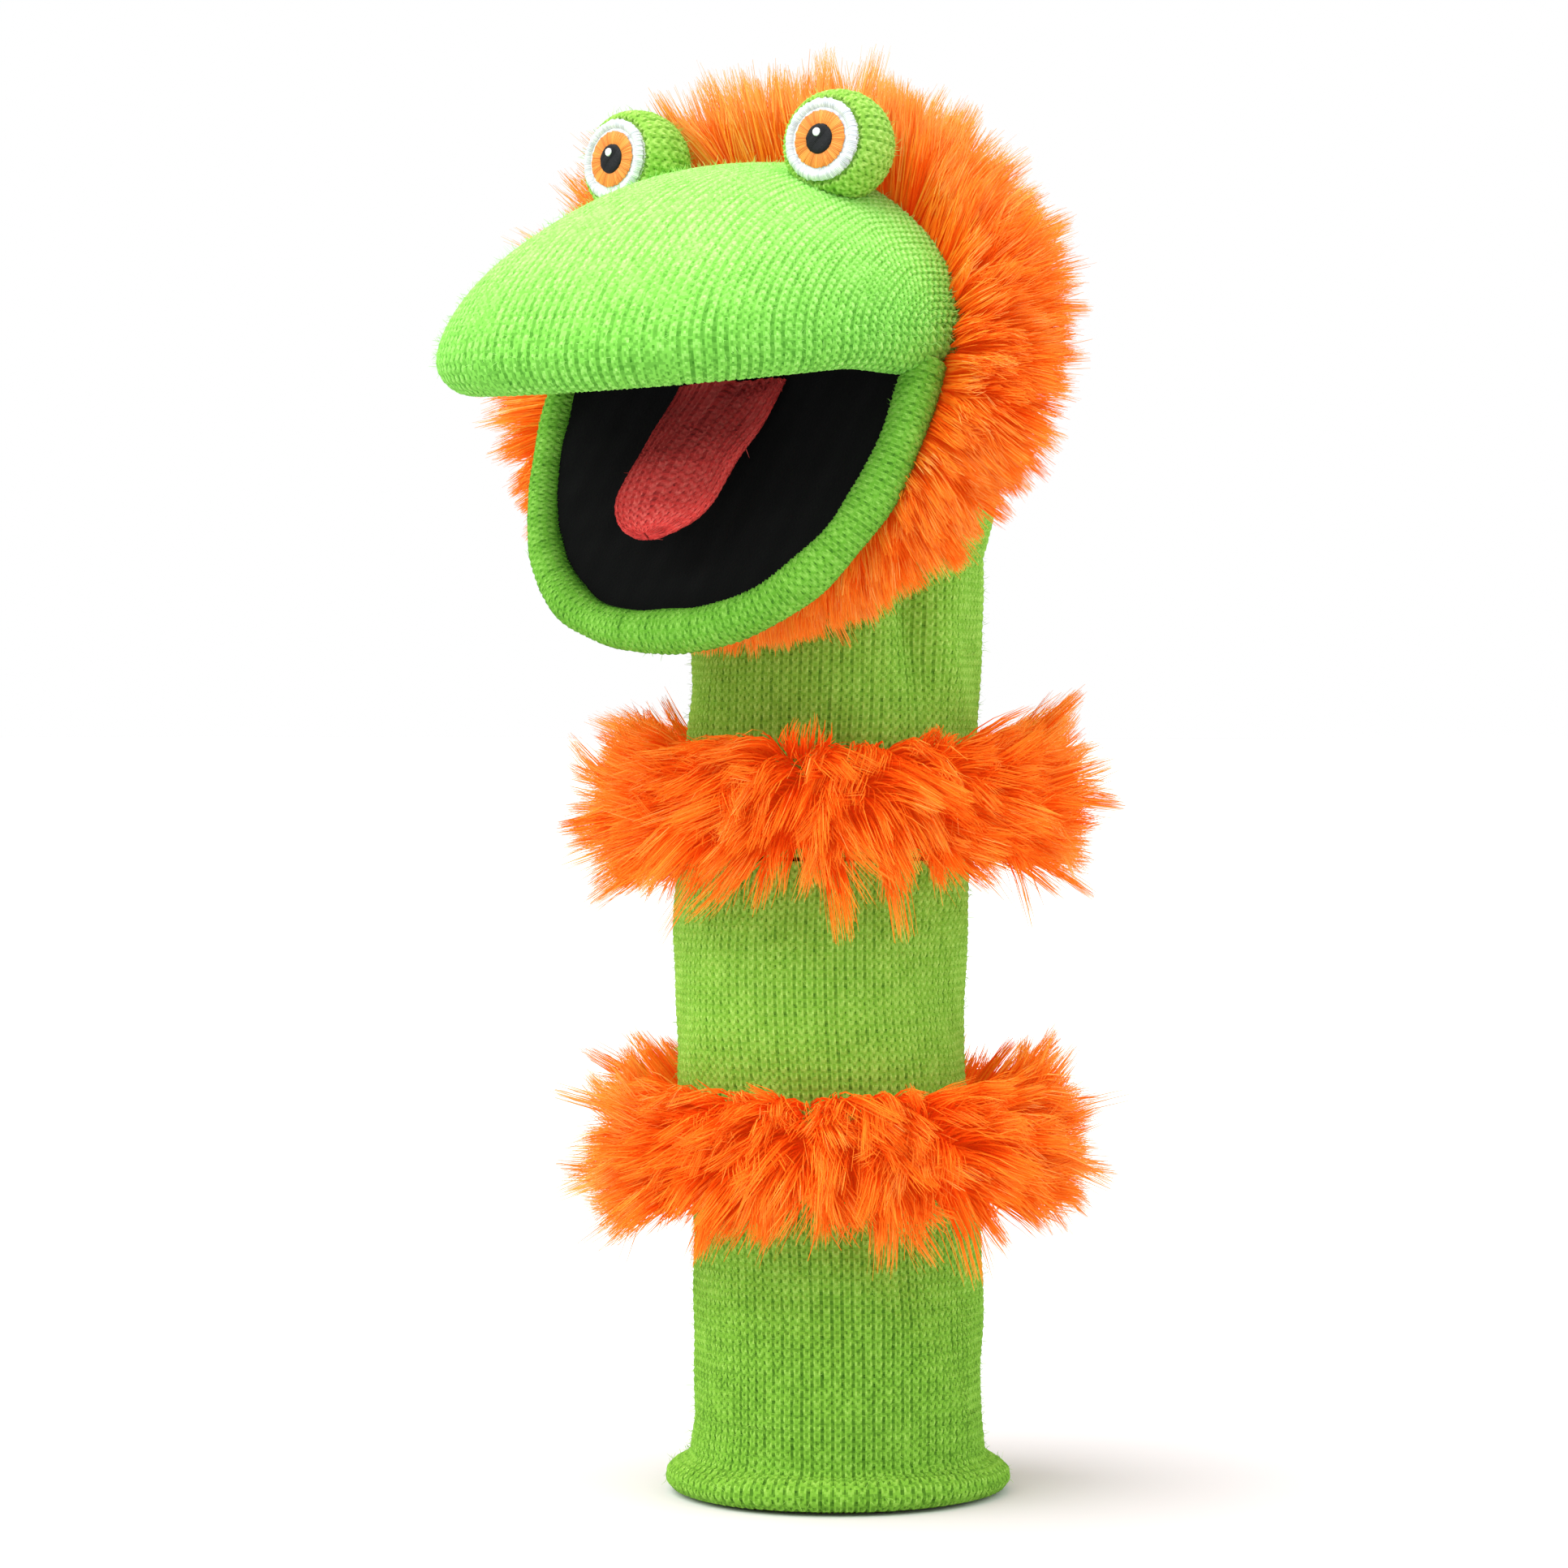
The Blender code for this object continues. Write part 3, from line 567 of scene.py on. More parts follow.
def beak_rear(count):
    """Points (x, h) of the section of the beak over the mouth fold, evenly spaced."""
    dense = np.linspace(0.0, math.pi, 2400)
    t = np.minimum(dense, math.pi - dense)
    scale = np.maximum(np.cos(t), 0.0) ** (2.0 / BEAK_M)
    x = JAW_W * scale * np.where(dense > 0.5 * math.pi, -1.0, 1.0)
    h = BEAK_ROLL + (BEAK_H - BEAK_ROLL) * np.sin(t) ** (2.0 / BEAK_M)
    return resample(np.stack([x, h], -1), count)


def beak_line(turn, s_back, rear, rows):
    """One wale of the beak, from inside the lip over the top to where it goes under the mane."""
    roll = np.linspace(0.56 * math.pi, 0.0, 20)[:-1]
    inset = BEAK_ROLL * (1.0 - np.cos(roll))
    px, ps = plan_points(turn, JAW_W - inset, BEAK_L - inset)
    drop = CORNER_DROP * smooth(1.0 - ps / 0.03) * (0.4 + 0.6 * np.sin(roll))
    under = np.stack([px, ps + s_back, BEAK_ROLL * (1.0 - np.sin(roll)) - drop], -1)
    x0, s0 = plan_points(turn, JAW_W, BEAK_L)
    x1, h1 = rear
    q = np.linspace(0.0, 1.0, 260) ** 2.2
    x = x0 + (x1 - x0) * q
    s = s0 * (1.0 - q)
    over = np.stack([x, s, beak_height(x, s)], -1)
    tail = np.linspace(0.0, 1.0, 24)[1:]
    length = BEAK_TAIL * (1.0 + (h1 - BEAK_ROLL) / (BEAK_H - BEAK_ROLL))
    behind = np.stack([x1 + 0.0 * tail, -length * tail, h1 - 0.002 * tail ** 2], -1)
    if s_back < 0.0:
        behind = behind[behind[:, 1] <= s_back]
        over = np.array([[x0, s_back, BEAK_ROLL]])
    line = np.vstack([under, over, behind])
    run = np.concatenate([[0.0], np.cumsum(np.linalg.norm(np.diff(line, axis=0), axis=1))])
    places = np.linspace(0.0, max(run[-1], 1e-4), rows)
    line = np.stack([np.interp(places, run, line[:, c]) for c in range(3)], -1)
    return line, places


def beak():
    """The padded beak, with extra columns that carry its lower corners back under the mane."""
    wales = 82
    middle = wales * 5 + 1
    extra = 18
    columns = middle + 2 * extra
    rows = 196
    turn, _ = even_turns(middle, JAW_W, BEAK_L)
    rear = beak_rear(middle)
    grid = np.zeros((rows, columns, 3))
    run = np.zeros((rows, columns))
    for k in range(columns):
        inner = min(max(k - extra, 0), middle - 1)
        past = max(extra - k, k - extra - middle + 1, 0)
        grid[:, k], run[:, k] = beak_line(turn[inner], -past * BEAK_TAIL * 0.999 / extra, rear[inner], rows)
    x, s, h = grid[..., 0], grid[..., 1], grid[..., 2]
    h = h + 0.0006 * waves(x, s, 3, 0.05) * smooth((h - 0.004) / 0.01)
    points = jaw_points(UPPER_PITCH, x, s, h)
    across = (np.arange(columns) - extra) * (wales / (middle - 1.0))
    wale = np.broadcast_to(across[None, :], x.shape)
    course = -(run - BEAK_ROLL * 0.5 * math.pi) / COURSE
    # Painted shade and light: the knit is painted darker low on the beak, under its rolled edge, and lighter
    # towards its top.
    shadow = 0.16 - 0.26 * smooth((h - 0.002) / 0.040)
    made = knit_object("beak_knit", points, wale, course, LIME, False, 51, relief=0.00085, outward=-1.0,
                       shadow=shadow, fuzz=6000)
    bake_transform(made)
    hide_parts("beak_cover")


def lip_centre(turn):
    """Middle line of the lower lip, which way is out of the mouth there, and its height."""
    x, s = plan_points(turn, JAW_W - LIP_R, LIP_L - LIP_R)
    ahead_x, ahead_s = plan_points(turn + 0.01, JAW_W - LIP_R, LIP_L - LIP_R)
    size = np.hypot(ahead_x - x, ahead_s - s)
    side_x = (ahead_s - s) / size
    side_s = -(ahead_x - x) / size
    height = np.maximum(s * LIP_RISE - LIP_R + 0.0002, -0.0032)
    return x, s, side_x, side_s, height


def lower_lip():
    """The padded lip: the knit wraps round it from the lining to the back."""
    _, length = even_turns(2, JAW_W, LIP_L)
    wales = int(length / LIP_WALE)
    columns = wales * 6 + 1
    turn, _ = even_turns(columns, JAW_W - LIP_R, LIP_L - LIP_R)
    x, s, side_x, side_s, height = (v[None, :] for v in lip_centre(turn))
    rows = 66
    around = np.linspace(1.10 * math.pi, -0.62 * math.pi, rows)[:, None]
    swell = 1.0 + 0.05 * waves(x, s, 61, 0.03)
    out = LIP_R * swell * np.cos(around)
    px = x + side_x * out
    ps = s + side_s * out
    ph = height + LIP_R * 1.06 * swell * np.sin(around)
    points = jaw_points(LOWER_PITCH, px, ps, ph)
    course = around * LIP_R / TALL_COURSE + 0.0 * x
    wale = np.broadcast_to(np.linspace(0.0, wales, columns)[None, :], px.shape)
    # Painted shade: the knit is painted darker where it turns in towards the mouth lining.
    shadow = 0.42 * smooth((around - 0.72 * math.pi) / (0.3 * math.pi)) + 0.0 * x
    made = knit_object("lower_lip_knit", points, wale, course, LIP, False, 62, shadow=shadow,
                       outward=-1.0, fuzz=3500)
    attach(made, "lower_jaw")
    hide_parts("lower_lip_cover")


def chin():
    """The knit from the back of the lower lip to the throat, under the mane."""
    wales = 72
    courses = 12
    columns = wales * 4 + 1
    rows = courses * 5
    turn, _ = even_turns(columns, JAW_W - LIP_R, LIP_L - LIP_R)
    x, s, side_x, side_s, height = lip_centre(turn)
    low = -0.45 * math.pi
    first = jaw_points(LOWER_PITCH, x + side_x * LIP_R * 0.9 * math.cos(low),
                       s + side_s * LIP_R * 0.9 * math.cos(low), height + LIP_R * 0.95 * math.sin(low))
    angle = -turn
    last = mane_centre(angle) + mane_outward(angle) * 0.004
    t = np.linspace(0.0, 1.0, rows)[:, None, None]
    points = first[None] * (1.0 - t) + last[None] * t
    wale = np.broadcast_to(np.linspace(0, wales, columns)[None, :], points.shape[:2])
    course = np.broadcast_to(np.linspace(0, courses, rows)[:, None], points.shape[:2])
    made = knit_object("chin_knit", points, wale, course, GREEN, False, 63)
    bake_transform(made)
    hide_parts("chin_panel")


def lining(name, pitch, height, inset, length, body, node):
    """A felt plate of the mouth, faintly uneven, from the fold to inside the lip."""
    rows = 60
    columns = 140
    scale = np.linspace(0.0, 1.0, rows)[:, None]
    turn = np.linspace(0.0, math.pi, columns)[None, :]
    x, s = plan_points(turn, (JAW_W - inset) * scale, (length - inset) * scale)
    s = np.maximum(s, 0.0014)
    h = height + 0.00015 * waves(x, s, 71, 0.012)
    points = jaw_points(pitch, x, s, h)
    quads = grid_quads(rows, columns, False)
    made = mesh_object(name, points, quads, None, [FELT])
    cut = (2.0 * (JAW_W - inset), length - inset)
    plan_x, plan_s = plan_points(turn, cut[0] / 2.0, cut[1])
    plan_x, plan_s = plan_x.ravel(), plan_s.ravel()
    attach(made, body)
    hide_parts(node)


# ---------------------------------------------------------------- tongue

def tongue():
    """The padded tongue, from behind the mouth fold to its rounded tip."""
    wales = 24
    columns = wales * ACROSS
    rows = 112
    turn = np.linspace(0.0, 2.0 * math.pi, columns, endpoint=False)[None, :]
    t = np.sin(0.5 * math.pi * np.linspace(0.0, 0.998, rows))[:, None]
    s = t * (TONGUE_L + TONGUE_ROOT) - TONGUE_ROOT
    tip = np.clip((s - (TONGUE_L - TONGUE_W)) / TONGUE_W, 0.0, 1.0)
    round_off = np.sqrt(np.maximum(1.0 - tip ** 2.3, 0.0004))
    half = TONGUE_W * round_off * (1.0 + 0.12 * (1.0 - smooth(t * 1.4)))
    grow = 0.0018 + 0.0027 * smooth(t * 1.6)
    thick = grow * (0.3 + 0.7 * round_off)
    cosine = np.cos(turn)
    sine = np.sin(turn)
    x = half * np.sign(cosine) * np.abs(cosine) ** 0.85
    h = grow + 0.0007 + thick * np.sign(sine) * np.abs(sine) ** 0.8
    h = h + 0.0005 * waves(x, s + 0.0 * x, 81, 0.03)
    pitch = LOWER_PITCH - TONGUE_LIFT
    root = jaw_points(LOWER_PITCH, np.zeros(1), np.full(1, TONGUE_S), np.full(1, 0.0003))[0]
    y = root[1] - s * math.cos(pitch) - h * math.sin(pitch)
    z = root[2] - s * math.sin(pitch) + h * math.cos(pitch)
    points = np.stack([x + 0.0 * y, y, z], -1)
    wale = np.broadcast_to(turn / (2.0 * math.pi) * wales, x.shape)
    course = -(s / TONGUE_COURSE) + 0.0 * x
    made = knit_object("tongue_knit", points, wale, course, RED, True, 82, relief=0.0009,
                       outward=-1.0, fuzz=350)
    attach(made, "tongue")
    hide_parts("tongue_cover")


# ---------------------------------------------------------------- eyes

def eye_axes(side):
    """The way an eye looks, and the two ways across it."""
    ahead = np.array([side * math.sin(EYE_YAW) * math.cos(EYE_TILT),
                      -math.cos(EYE_YAW) * math.cos(EYE_TILT), math.sin(EYE_TILT)])
    across = np.cross(ahead, (0.0, 0.0, 1.0))
    across /= np.linalg.norm(across)
    return ahead, across, np.cross(across, ahead)


def eye_points(side, radius, turn, depth, shift=(0.0, 0.0)):
    """Points at a radius and an angle round the eye's own axis, and a distance along it."""
    ahead, across, upward = eye_axes(side)
    centre = np.array([side * EYE_X, EYE_Y, EYE_Z])
    a = radius * np.cos(turn) + shift[0]
    b = radius * np.sin(turn) + shift[1]
    return centre + a[..., None] * across + b[..., None] * upward + (depth + 0.0 * a)[..., None] * ahead


def rest_on_beak(points, above):
    """The points, lifted where they would sink into the beak."""
    y = points[..., 1] - HINGE_Y
    z = points[..., 2] - HINGE_Z
    s = -y * math.cos(UPPER_PITCH) - z * math.sin(UPPER_PITCH)
    h = -y * math.sin(UPPER_PITCH) + z * math.cos(UPPER_PITCH)
    h = np.maximum(h, beak_height(points[..., 0], s) + above)
    return jaw_points(UPPER_PITCH, points[..., 0], s, h)


def eye_ball(side, name):
    """The knitted ball, whose front is flat to take the embroidered patch."""
    wales = 28
    columns = wales * ACROSS
    rows = 84
    front = math.acos(EYE_FACE / EYE_R)
    polar = np.linspace(front * 0.72, math.pi - 0.12, rows)[:, None]
    turn = np.linspace(0.0, 2.0 * math.pi, columns, endpoint=False)[None, :]
    radius = EYE_R * np.sin(polar) + 0.0 * turn
    depth = np.minimum(EYE_R * np.cos(polar), EYE_FACE - 0.0012) + 0.0 * turn
    points = rest_on_beak(eye_points(side, radius, turn, depth), 0.0004)
    wale = np.broadcast_to(turn / (2.0 * math.pi) * wales, radius.shape)
    course = np.broadcast_to(polar * EYE_R / TALL_COURSE, radius.shape)
    made = knit_object(name + "_eye_knit", points, wale, course, GREEN_EYE, True, 90 + int(side),
                       relief=0.00085, fuzz=700)
    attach(made, "upper_jaw")
    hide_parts(name + "_eye_cover")


def satin_disc(name, side, inner, outer, base, rise, threads, materials, seed, shift=(0.0, 0.0),
               straight=None):
    """A patch of satin stitch between two radii: threads that run outwards, or straight at an angle.

    base is its distance along the eye's axis, and rise how far its crown stands out from there.
    """
    rng = np.random.default_rng(seed)
    columns = threads * 4
    rows = 22
    turn = np.linspace(0.0, 2.0 * math.pi, columns, endpoint=False)[None, :]
    t = np.linspace(0.0, 1.0, rows)[:, None]
    ragged = 1.0 + 0.02 * rng.uniform(-1.0, 1.0, threads)[(np.arange(columns) // 4)][None, :]
    radius = inner + (outer * ragged - inner) * t
    if inner > 0.0:
        crown = np.sin(math.pi * (0.10 + 0.85 * t)) ** 0.5
    else:
        crown = np.sqrt(np.maximum(1.0 - t ** 6, 0.0))
    if straight is None:
        phase = turn / (2.0 * math.pi) * threads + 0.0 * t
    else:
        a = radius * np.cos(turn - straight)
        phase = a / THREAD_STEP + 0.3 * np.sin(radius * np.sin(turn - straight) * 900.0)
    ridge = np.abs(np.sin(math.pi * phase)) ** 0.7
    depth = base + rise * crown + THREAD_RISE * ridge * crown
    points = eye_points(side, radius, turn + 0.0 * t, depth, shift)
    tone = rng.uniform(-0.25, 0.25, 4096)
    number = np.floor(phase).astype(int) % len(tone)
    # Each face is painted darker between the threads and towards the patch's edges: painted shade, with a
    # random tone per thread.
    value = face_mean(0.25 + 0.55 * ridge * (0.6 + 0.4 * crown) + tone[number], True)
    shade = np.clip(np.floor(value * len(materials)), 0, len(materials) - 1)
    made = mesh_object(name, points, grid_quads(rows, columns, True), shade, materials)
    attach(made, "upper_jaw")
    return made


def eyes():
    """Both eyes: the ball, then white, border, iris, pupil and highlight one over the other."""
    face = EYE_FACE + 0.0006
    layers = (("white", "thread_white", (0.0, WHITE_R, face, 0.0005, 60, THREAD_WHITE, 101),
               {"straight": 0.9}),
              ("border", "thread_white", (*BORDER_R, face - 0.0008, 0.0020, 140, THREAD_WHITE, 102), {}),
              ("iris", "thread_orange", (*IRIS_R, face + 0.0005, 0.0007, 92, THREAD_ORANGE, 103), {}),
              ("pupil", "thread_black", (0.0, PUPIL_R, face + 0.0008, 0.0008, 40, THREAD_DARK, 104),
               {"straight": 0.75}),
              ("highlight", "thread_white",
               (0.0, HIGHLIGHT_R, face + 0.0015, 0.0005, 16, [THREAD_WHITE[-1]], 105),
               {"shift": HIGHLIGHT_SHIFT, "straight": 0.2}))
    for side, name in ((1.0, "left"), (-1.0, "right")):
        eye_ball(side, name)
        for part, slot, sizes, more in layers:
            made = satin_disc(f"{name}_eye_{part}_satin", side, *sizes, **more)
            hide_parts(f"{name}_eye_{part}")


# ---------------------------------------------------------------- fur

def strands(name, roots, ahead, length, droop, seed, body, nodes, light=0.0,
            gather=0.80, lock_curl=2.6, uneven=0.14):
    """Tapered strands that gather into locks.

    roots and ahead are (count, 3), length and droop (count,). light is painted light and shade: how many
    shades lighter the strands are painted, darker below 0. gather is how far a strand's tip is drawn to
    its lock, lock_curl how much the locks bend, and uneven how much their lengths differ.
    """
    rng = np.random.default_rng(seed)
    count = len(roots)
    clumps = count // STRANDS_IN_LOCK
    guide = rng.choice(count, clumps, replace=False)
    owner = nearest(roots, roots[guide], ahead, ahead[guide])
    steps = STRAND_STEPS
    t = np.linspace(0.0, 1.0, steps)[None, :, None]
    curl = rng.normal(0.0, STRAND_CURL * 0.7, (count, 3))
    guide_curl = rng.normal(0.0, STRAND_CURL * lock_curl, (clumps, 3))
    guide_length = length[guide] * (1.0 + rng.uniform(-1.1, 0.85, clumps) * uneven)
    down = np.array([0.0, 0.0, -1.0])

    def path(start, way, size, bend, fall):
        size = size[:, None, None]
        return (start[:, None, :] + way[:, None, :] * size * t + bend[:, None, :] * size * t ** 2
                + down * fall[:, None, None] * size * t ** 2)

    own = path(roots, ahead, length, curl, droop)
    guides = path(roots[guide], ahead[guide], guide_length, guide_curl, droop[guide])[owner]
    spread = rng.normal(0.0, 0.0011, (count, 1, 3)) * (1.0 - 0.45 * t)
    pull = gather * t ** 0.8 * rng.uniform(0.35, 1.0, (count, 1, 1)) ** 0.7
    lines = own * (1.0 - pull) + (guides + spread) * pull
    far = np.abs(lines[..., 0]) - WIDEST
    lines[..., 0] -= np.sign(lines[..., 0]) * np.maximum(far, 0.0) * 0.65
    tangent = unit(np.gradient(lines, axis=1))
    side = unit(np.cross(tangent, rng.normal(0.0, 1.0, (count, 1, 3))))
    taper = (1.0 - 0.85 * np.linspace(0.0, 1.0, steps) ** 1.8)[None, :, None]
    half = 0.5 * STRAND_WIDTH * taper * rng.uniform(0.7, 1.3, (count, 1, 1))
    points = np.stack([lines - side * half, lines + side * half], 2).reshape(-1, 3)
    base = (np.arange(count) * steps * 2)[:, None, None]
    k = (np.arange(steps - 1) * 2)[None, :, None]
    quads = (base + k + np.array([0, 1, 3, 2])[None, None, :]).reshape(-1, 4)
    tone = rng.normal(0.0, 0.5, clumps)[owner][:, None] + rng.normal(0.0, 0.6, (count, 1))
    along = np.linspace(0.1, 1.0, steps - 1)[None, :]
    # Strands go from darker at the root to lighter at the tip, with a random tone per lock and per strand;
    # light adds painted light and shade.
    value = 1.2 + 3.4 * along ** 1.6 + tone + light
    shade = np.clip(np.round(value), 0, len(FUR) - 1)
    made = mesh_object(name, points, quads, shade, FUR, smooth=False)
    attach(made, body)
    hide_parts(*nodes)


def nearest(points, centres, ways, centre_ways):
    """Number of the centre closest to each point, counting direction as well as place."""
    found = np.zeros(len(points), int)
    weight = 0.006
    for first in range(0, len(points), 2000):
        part = points[first:first + 2000]
        gap = ((part[:, None, :] - centres[None]) ** 2).sum(2)
        gap += weight ** 2 * ((ways[first:first + 2000][:, None, :] - centre_ways[None]) ** 2).sum(2)
        found[first:first + 2000] = gap.argmin(1)
    return found


def band_fur(prefix, centre, body, seed, count=STRANDS):
    """Locks that stand out at the sides, hang at the front and rise where the photo shows them."""
    rng = np.random.default_rng(seed)
    turn = rng.uniform(0.0, 2.0 * math.pi, count)
    around = np.arcsin(rng.uniform(-1.0, 1.0, count))
    deep = rng.uniform(0.0, 0.62, count) ** 0.8
    outward = np.stack([np.cos(turn), np.sin(turn), 0.0 * turn], -1)
    sideways = np.stack([-np.sin(turn), np.cos(turn), 0.0 * turn], -1)
    up = np.array([0.0, 0.0, 1.0])
    facing = np.clip(np.cos(turn - FRONT), 0.0, 1.0)
    mess = waves(np.cos(turn), np.sin(turn), seed + 3, 0.45)
    tuft = waves(np.cos(turn), np.sin(turn) + 0.3 * around, seed + 7, 0.18)
    radius = BAND_ROOT_R + 0.016 * deep * np.cos(around)
    z = centre + 0.0120 * np.sin(around) + 0.004 * facing ** 2
    roots = outward * radius[:, None] + up * z[:, None] + np.array([0.0, SLEEVE_Y, 0.0])
    right = np.clip(np.cos(turn - IMAGE_RIGHT), 0.0, 1.0)
    rise = 0.66 * np.sin(around) * (1.0 - 0.35 * facing) + 0.38 - 0.30 * facing ** 1.5 + 0.18 * right \
        + 0.14 * mess + 0.16 * tuft
    sway = 0.30 * waves(np.cos(turn), np.sin(turn), seed + 5, 0.30) + 0.20 * tuft
    ahead = unit(outward + up * rise[:, None] + sideways * sway[:, None] + rng.normal(0.0, 0.07, (count, 3)))
    length = (0.0303 - 0.012 * deep) * rng.uniform(0.84, 1.06, count) * (1.0 + 0.05 * mess)
    droop = 0.12 + 0.36 * facing ** 1.5
    # Painted shade and light: the strands are painted darker towards the side that faces the camera and
    # lighter at the sides and back.
    strands(prefix + "_fur", roots, ahead, length, droop, seed, body,
            (prefix + "_backing", prefix + "_pile"), light=(0.4 - 1.1 * facing)[:, None])


def fur_core(name, points, body):
    """The dense lower part of the pile, which hides the backing between the locks."""
    made = mesh_object(name, points, grid_quads(points.shape[0], points.shape[1], True), None, [FUR_CORE])
    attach(made, body)


def band_core(prefix, centre, body, seed):
    """The dense core of a band, all round the sleeve."""
    columns = 180
    rows = 26
    turn = np.linspace(0.0, 2.0 * math.pi, columns, endpoint=False)[None, :]
    around = np.linspace(-0.5 * math.pi, 0.5 * math.pi, rows)[:, None]
    bump = waves(turn * 8.0, around * 2.0, seed, 1.0)
    facing = np.clip(np.cos(turn - FRONT), 0.0, 1.0) ** 2
    radius = 0.0402 + 0.0136 * np.cos(around) * (1.0 + 0.10 * bump)
    z = centre + 0.0100 * np.sin(around) - 0.002 * facing * np.cos(around)
    points = np.stack([radius * np.cos(turn), SLEEVE_Y + radius * np.sin(turn), z], -1)
    fur_core(prefix + "_core", points, body)


def mane_axes():
    """The way the mane's plane faces, and the way up along it."""
    normal = np.array([0.0, -math.sin(MANE_TILT), math.cos(MANE_TILT)])
    along = np.array([0.0, math.cos(MANE_TILT), math.sin(MANE_TILT)])
    return normal, along


def mane_low(angle):
    """How low a place is on the mane, from 0 over the head to 1 under the chin."""
    return 0.5 - 0.5 * np.sin(angle)


def mane_centre(angle):
    """Points of the mane's root line: the tilted ellipse round the face."""
    normal, along = mane_axes()
    angle = np.asarray(angle)
    centre = np.array([0.0, THROAT_Y, THROAT_Z]) + along * (FACE_B + THROAT_R)
    low = mane_low(angle)
    forward = 0.003 * low ** 1.5 - 0.006 * (1.0 - low)
    across = (MANE_A * np.cos(angle))[..., None] * np.array([1.0, 0.0, 0.0])
    return centre + forward[..., None] * normal + across + (MANE_B * np.sin(angle))[..., None] * along


def mane_outward(angle):
    """The way out of the mane's ellipse at an angle round it."""
    _, along = mane_axes()
    angle = np.asarray(angle)
    across = (np.cos(angle) / MANE_A)[..., None] * np.array([1.0, 0.0, 0.0])
    return unit(across + (np.sin(angle) / MANE_B)[..., None] * along)


def mane_fur(part, start, end, seed, count=STRANDS):
    """Half of the mane: longest over the head, short under the chin, and leaning to both sides."""
    rng = np.random.default_rng(seed)
    normal, _ = mane_axes()
    angle = rng.uniform(start, end, count)
    around = np.arcsin(rng.uniform(-1.0, 1.0, count))
    deep = rng.uniform(0.0, 0.62, count) ** 0.8
    high = np.clip(np.sin(angle), 0.0, 1.0)
    low = mane_low(angle)
    half = 0.0115 - 0.0060 * low ** 1.5
    outward = mane_outward(angle)
    tangent = np.cross(normal, outward)
    place = np.sin(around)
    roots = mane_centre(angle) + normal * (place * half)[:, None] \
        + outward * (0.018 * deep * np.cos(around))[:, None]
    mess = waves(angle, around * 0.3, seed + 3, 0.7)
    sway = waves(angle, around * 0.2, seed + 5, 0.5)
    far = np.clip(-np.cos(angle), 0.0, 1.0) * high
    lean = 0.06 + 0.62 * place + 0.12 * mess - 0.30 * low + 0.10 * high + 1.0 * far
    ahead = unit(outward + normal * lean[:, None] + tangent * (0.20 * sway)[:, None]
                 + rng.normal(0.0, 0.07, (count, 3)))
    under = np.clip(-np.sin(angle), 0.0, 1.0)
    short = 1.0 - 0.38 * under ** 0.8 - 0.30 * under * np.clip(-np.cos(angle), 0.0, 1.0)
    near = np.clip(np.cos(angle), 0.0, 1.0)
    length = (0.0328 + 0.0102 * high ** 2 + 0.004 * far - 0.0028 * near ** 2 - 0.015 * deep) * short \
        * rng.uniform(0.86, 1.05, count) * (1.0 + 0.04 * mess)
    droop = 0.10 - 0.08 * high + 0.16 * under
    # Painted light: the strands are painted lighter towards the top of the mane.
    strands("mane_" + part + "_fur", roots, ahead, length, droop, seed, "head",
            ("mane_" + part + "_backing", "mane_" + part + "_pile"), light=1.8 * high[:, None] ** 2,
            gather=0.70, lock_curl=1.55, uneven=0.09)


def mane_core():
    """The dense core of the mane, all round the face."""
    normal, _ = mane_axes()
    columns = 200
    rows = 24
    angle = np.linspace(0.0, 2.0 * math.pi, columns, endpoint=False)[None, :]
    around = np.linspace(-0.5 * math.pi, 0.5 * math.pi, rows)[:, None]
    low = mane_low(angle)
    half = 0.0105 - 0.0045 * low ** 1.5
    centre = mane_centre(angle + 0.0 * around)
    outward = mane_outward(angle + 0.0 * around)
    bump = waves(angle * 8.0, around * 2.0, 7, 1.0)
    points = centre + outward * (0.0150 * np.cos(around) * (1.0 + 0.1 * bump))[..., None] \
        + normal * (half * np.sin(around))[..., None]
    fur_core("mane_core", points, "head")


def fur():
    """Both bands and both halves of the mane."""
    band_core("lower_fur_band", LOWER_BAND_Z, "sleeve", 201)
    band_core("upper_fur_band", UPPER_BAND_Z, "neck", 202)
    mane_core()
    band_fur("lower_fur_band", LOWER_BAND_Z, "sleeve", 211)
    band_fur("upper_fur_band", UPPER_BAND_Z, "neck", 212)
    mane_fur("upper", 0.0, math.pi, 213)
    mane_fur("lower", math.pi, 2.0 * math.pi, 214)


# ---------------------------------------------------------------- inner parts

def inner_parts():
    """Materials for the pieces that keep their CAD shapes and are mostly hidden."""
    foam = plain("foam", linear(232, 226, 206), 0.95, grain=420.0)
    fibre = plain("fibre_filling", linear(240, 240, 236), 1.0, 0.2, grain=900.0)
    board = plain("board", linear(146, 128, 104), 0.9, grain=300.0)
    elastic = plain("elastic", linear(24, 24, 26), 0.8, grain=1800.0)
    for material, names in ((foam, ("beak_padding", "lower_lip_padding")),
                            (fibre, ("tongue_stuffing", "left_eye_stuffing", "right_eye_stuffing")),
                            (board, ("upper_mouth_board", "lower_mouth_board")),
                            (elastic, ("finger_strap", "thumb_strap")),
                            (FELT, ("mouth_fold",))):
        for name in names:
            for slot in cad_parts[name].material_slots:
                slot.material = material


# ---------------------------------------------------------------- stage

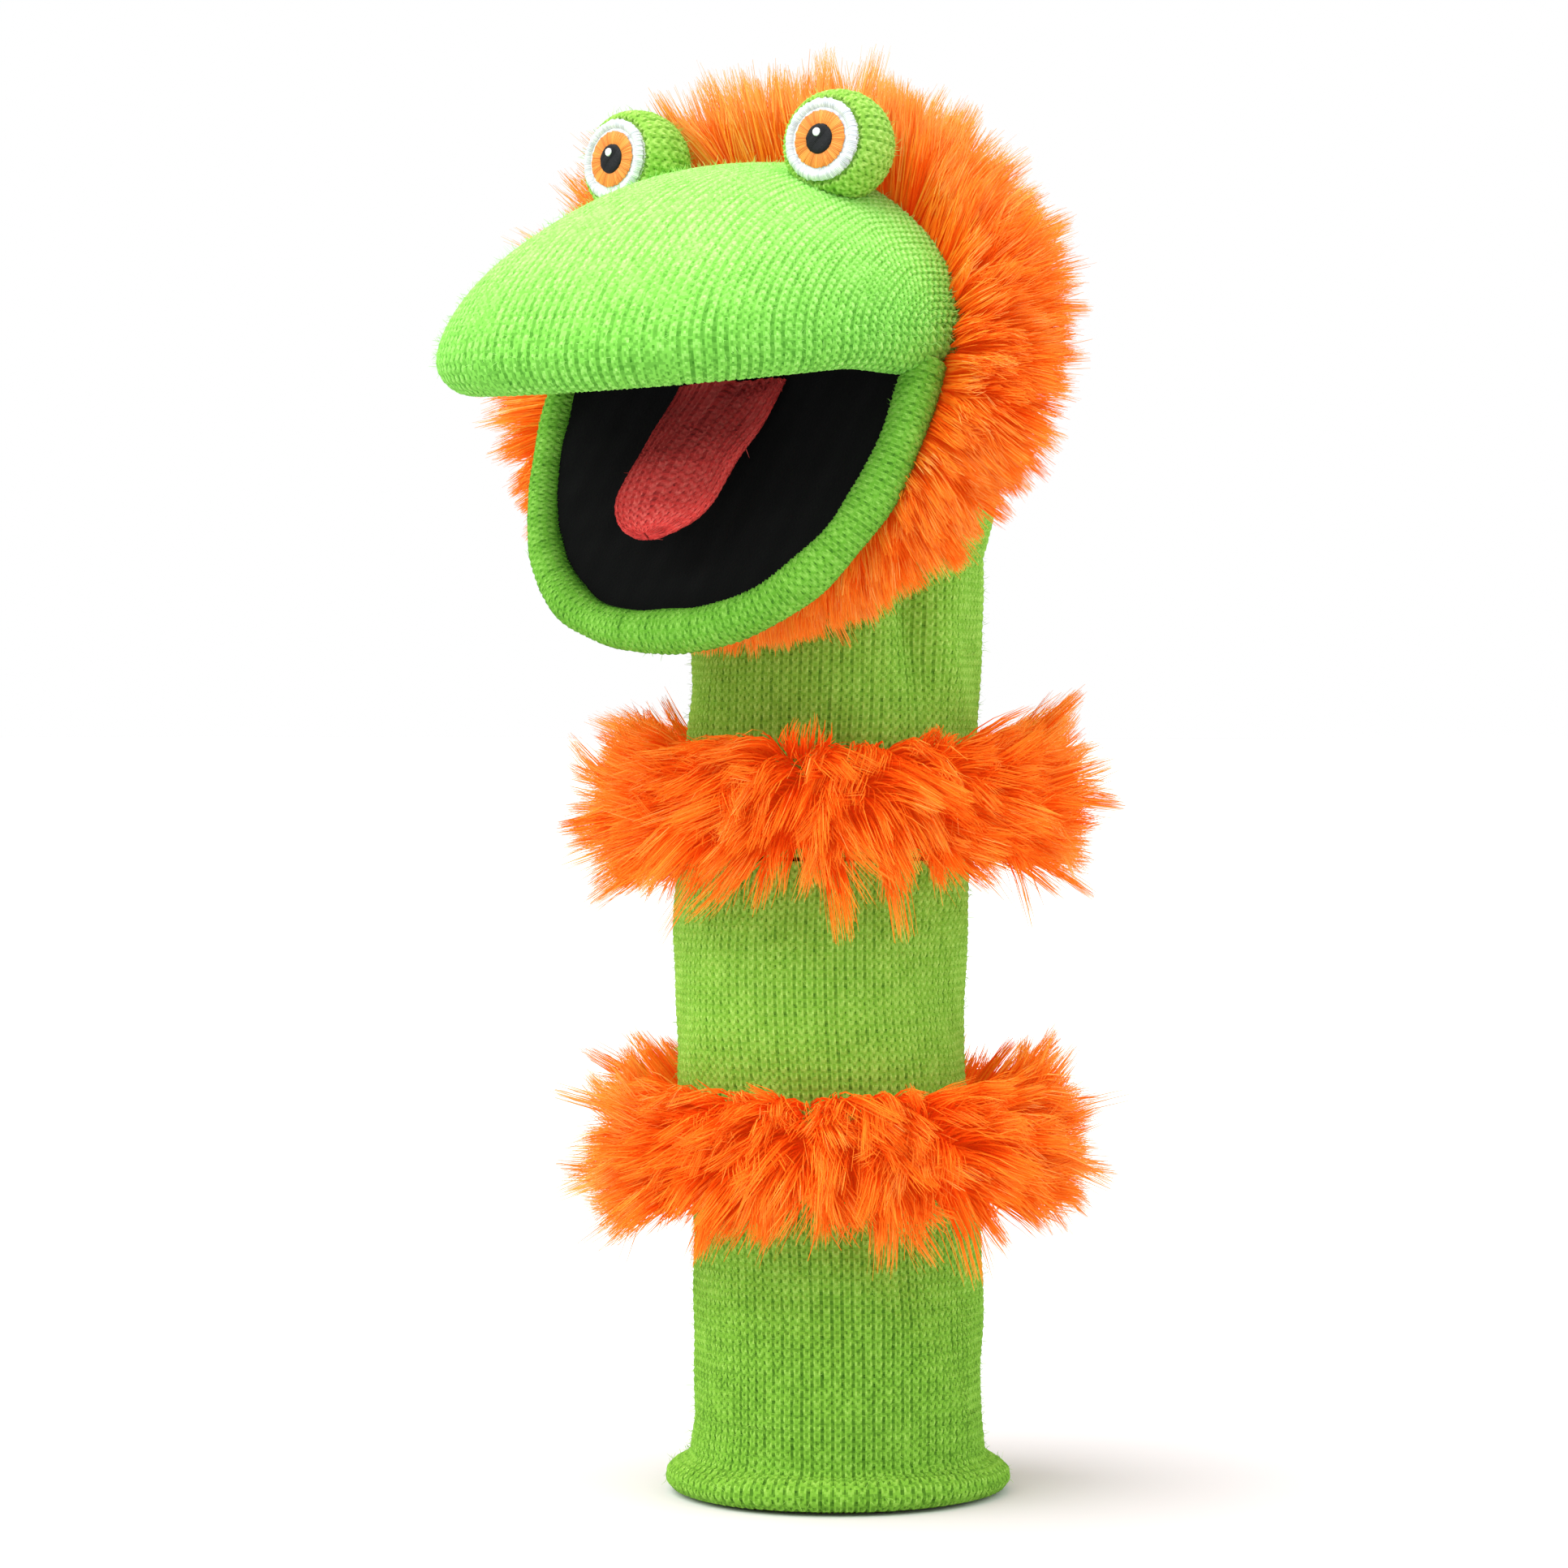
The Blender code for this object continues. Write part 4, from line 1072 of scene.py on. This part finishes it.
def sun(name, azimuth, rise, strength, spread):
    """A soft lamp from an azimuth, 0 being straight in front of the puppet, and a height in degrees."""
    data = bpy.data.lights.new(name, "SUN")
    data.energy = strength
    data.angle = math.radians(spread)
    lamp = bpy.data.objects.new(name, data)
    a = math.radians(azimuth)
    r = math.radians(rise)
    back = Vector((math.sin(a) * math.cos(r), -math.cos(a) * math.cos(r), math.sin(r)))
    lamp.rotation_euler = back.to_track_quat("Z", "Y").to_euler()
    bpy.context.scene.collection.objects.link(lamp)


def lights():
    """Two soft lamps and a pale surround, which the camera sees as white."""
    sun("key", -25.0, 56.0, 3.4, 80.0)
    sun("fill", 105.0, 34.0, 0.9, 60.0)
    world = bpy.data.worlds.new("studio")
    bpy.context.scene.world = world
    world.use_nodes = True
    nodes = world.node_tree.nodes
    links = world.node_tree.links
    seen = nodes.new("ShaderNodeLightPath")
    strength = nodes.new("ShaderNodeMapRange")
    strength.inputs["To Min"].default_value = 0.72
    strength.inputs["To Max"].default_value = 1.0
    links.new(seen.outputs["Is Camera Ray"], strength.inputs["Value"])
    links.new(strength.outputs["Result"], nodes["Background"].inputs["Strength"])
    nodes["Background"].inputs["Color"].default_value = (1.0, 1.0, 1.0, 1.0)
    bpy.context.scene.view_settings.view_transform = "Standard"


def floor():
    """A pale floor, wide enough that its edge is never seen."""
    size = 60.0
    low = -0.0005
    points = [(-size, -size, low), (size, -size, low), (size, size, low), (-size, size, low)]
    white = plain("floor_white", (0.76, 0.76, 0.76, 1.0), 0.9, specular=0.0)
    made = mesh_object("floor", points, [(0, 1, 2, 3)], None, [white])


def camera():
    """The view of the photo."""
    target = Vector((0.0, SLEEVE_Y, CAMERA_AIM))
    back = Vector((math.sin(CAMERA_AZIMUTH) * math.cos(CAMERA_RISE),
                   -math.cos(CAMERA_AZIMUTH) * math.cos(CAMERA_RISE), math.sin(CAMERA_RISE)))
    data = bpy.data.cameras.new("camera")
    data.sensor_width = CAMERA_SENSOR
    data.lens = CAMERA_LENS
    data.shift_x, data.shift_y = CAMERA_SHIFT
    data.clip_start = 0.05
    made = bpy.data.objects.new("camera", data)
    made.location = target + back * CAMERA_DISTANCE
    made.rotation_euler = back.to_track_quat("Z", "Y").to_euler()
    bpy.context.scene.collection.objects.link(made)
    bpy.context.scene.camera = made


def main():
    hem()
    sleeve()
    neck()
    head()
    beak()
    lower_lip()
    chin()
    lining("lower_mouth_felt", LOWER_PITCH, *LOWER_FELT, LIP_L, "lower_jaw", "lower_mouth_lining")
    lining("upper_mouth_felt", UPPER_PITCH, *UPPER_FELT, BEAK_L, "upper_jaw", "upper_mouth_lining")
    tongue()
    eyes()
    fur()
    inner_parts()
    lights()
    floor()
    camera()


main()
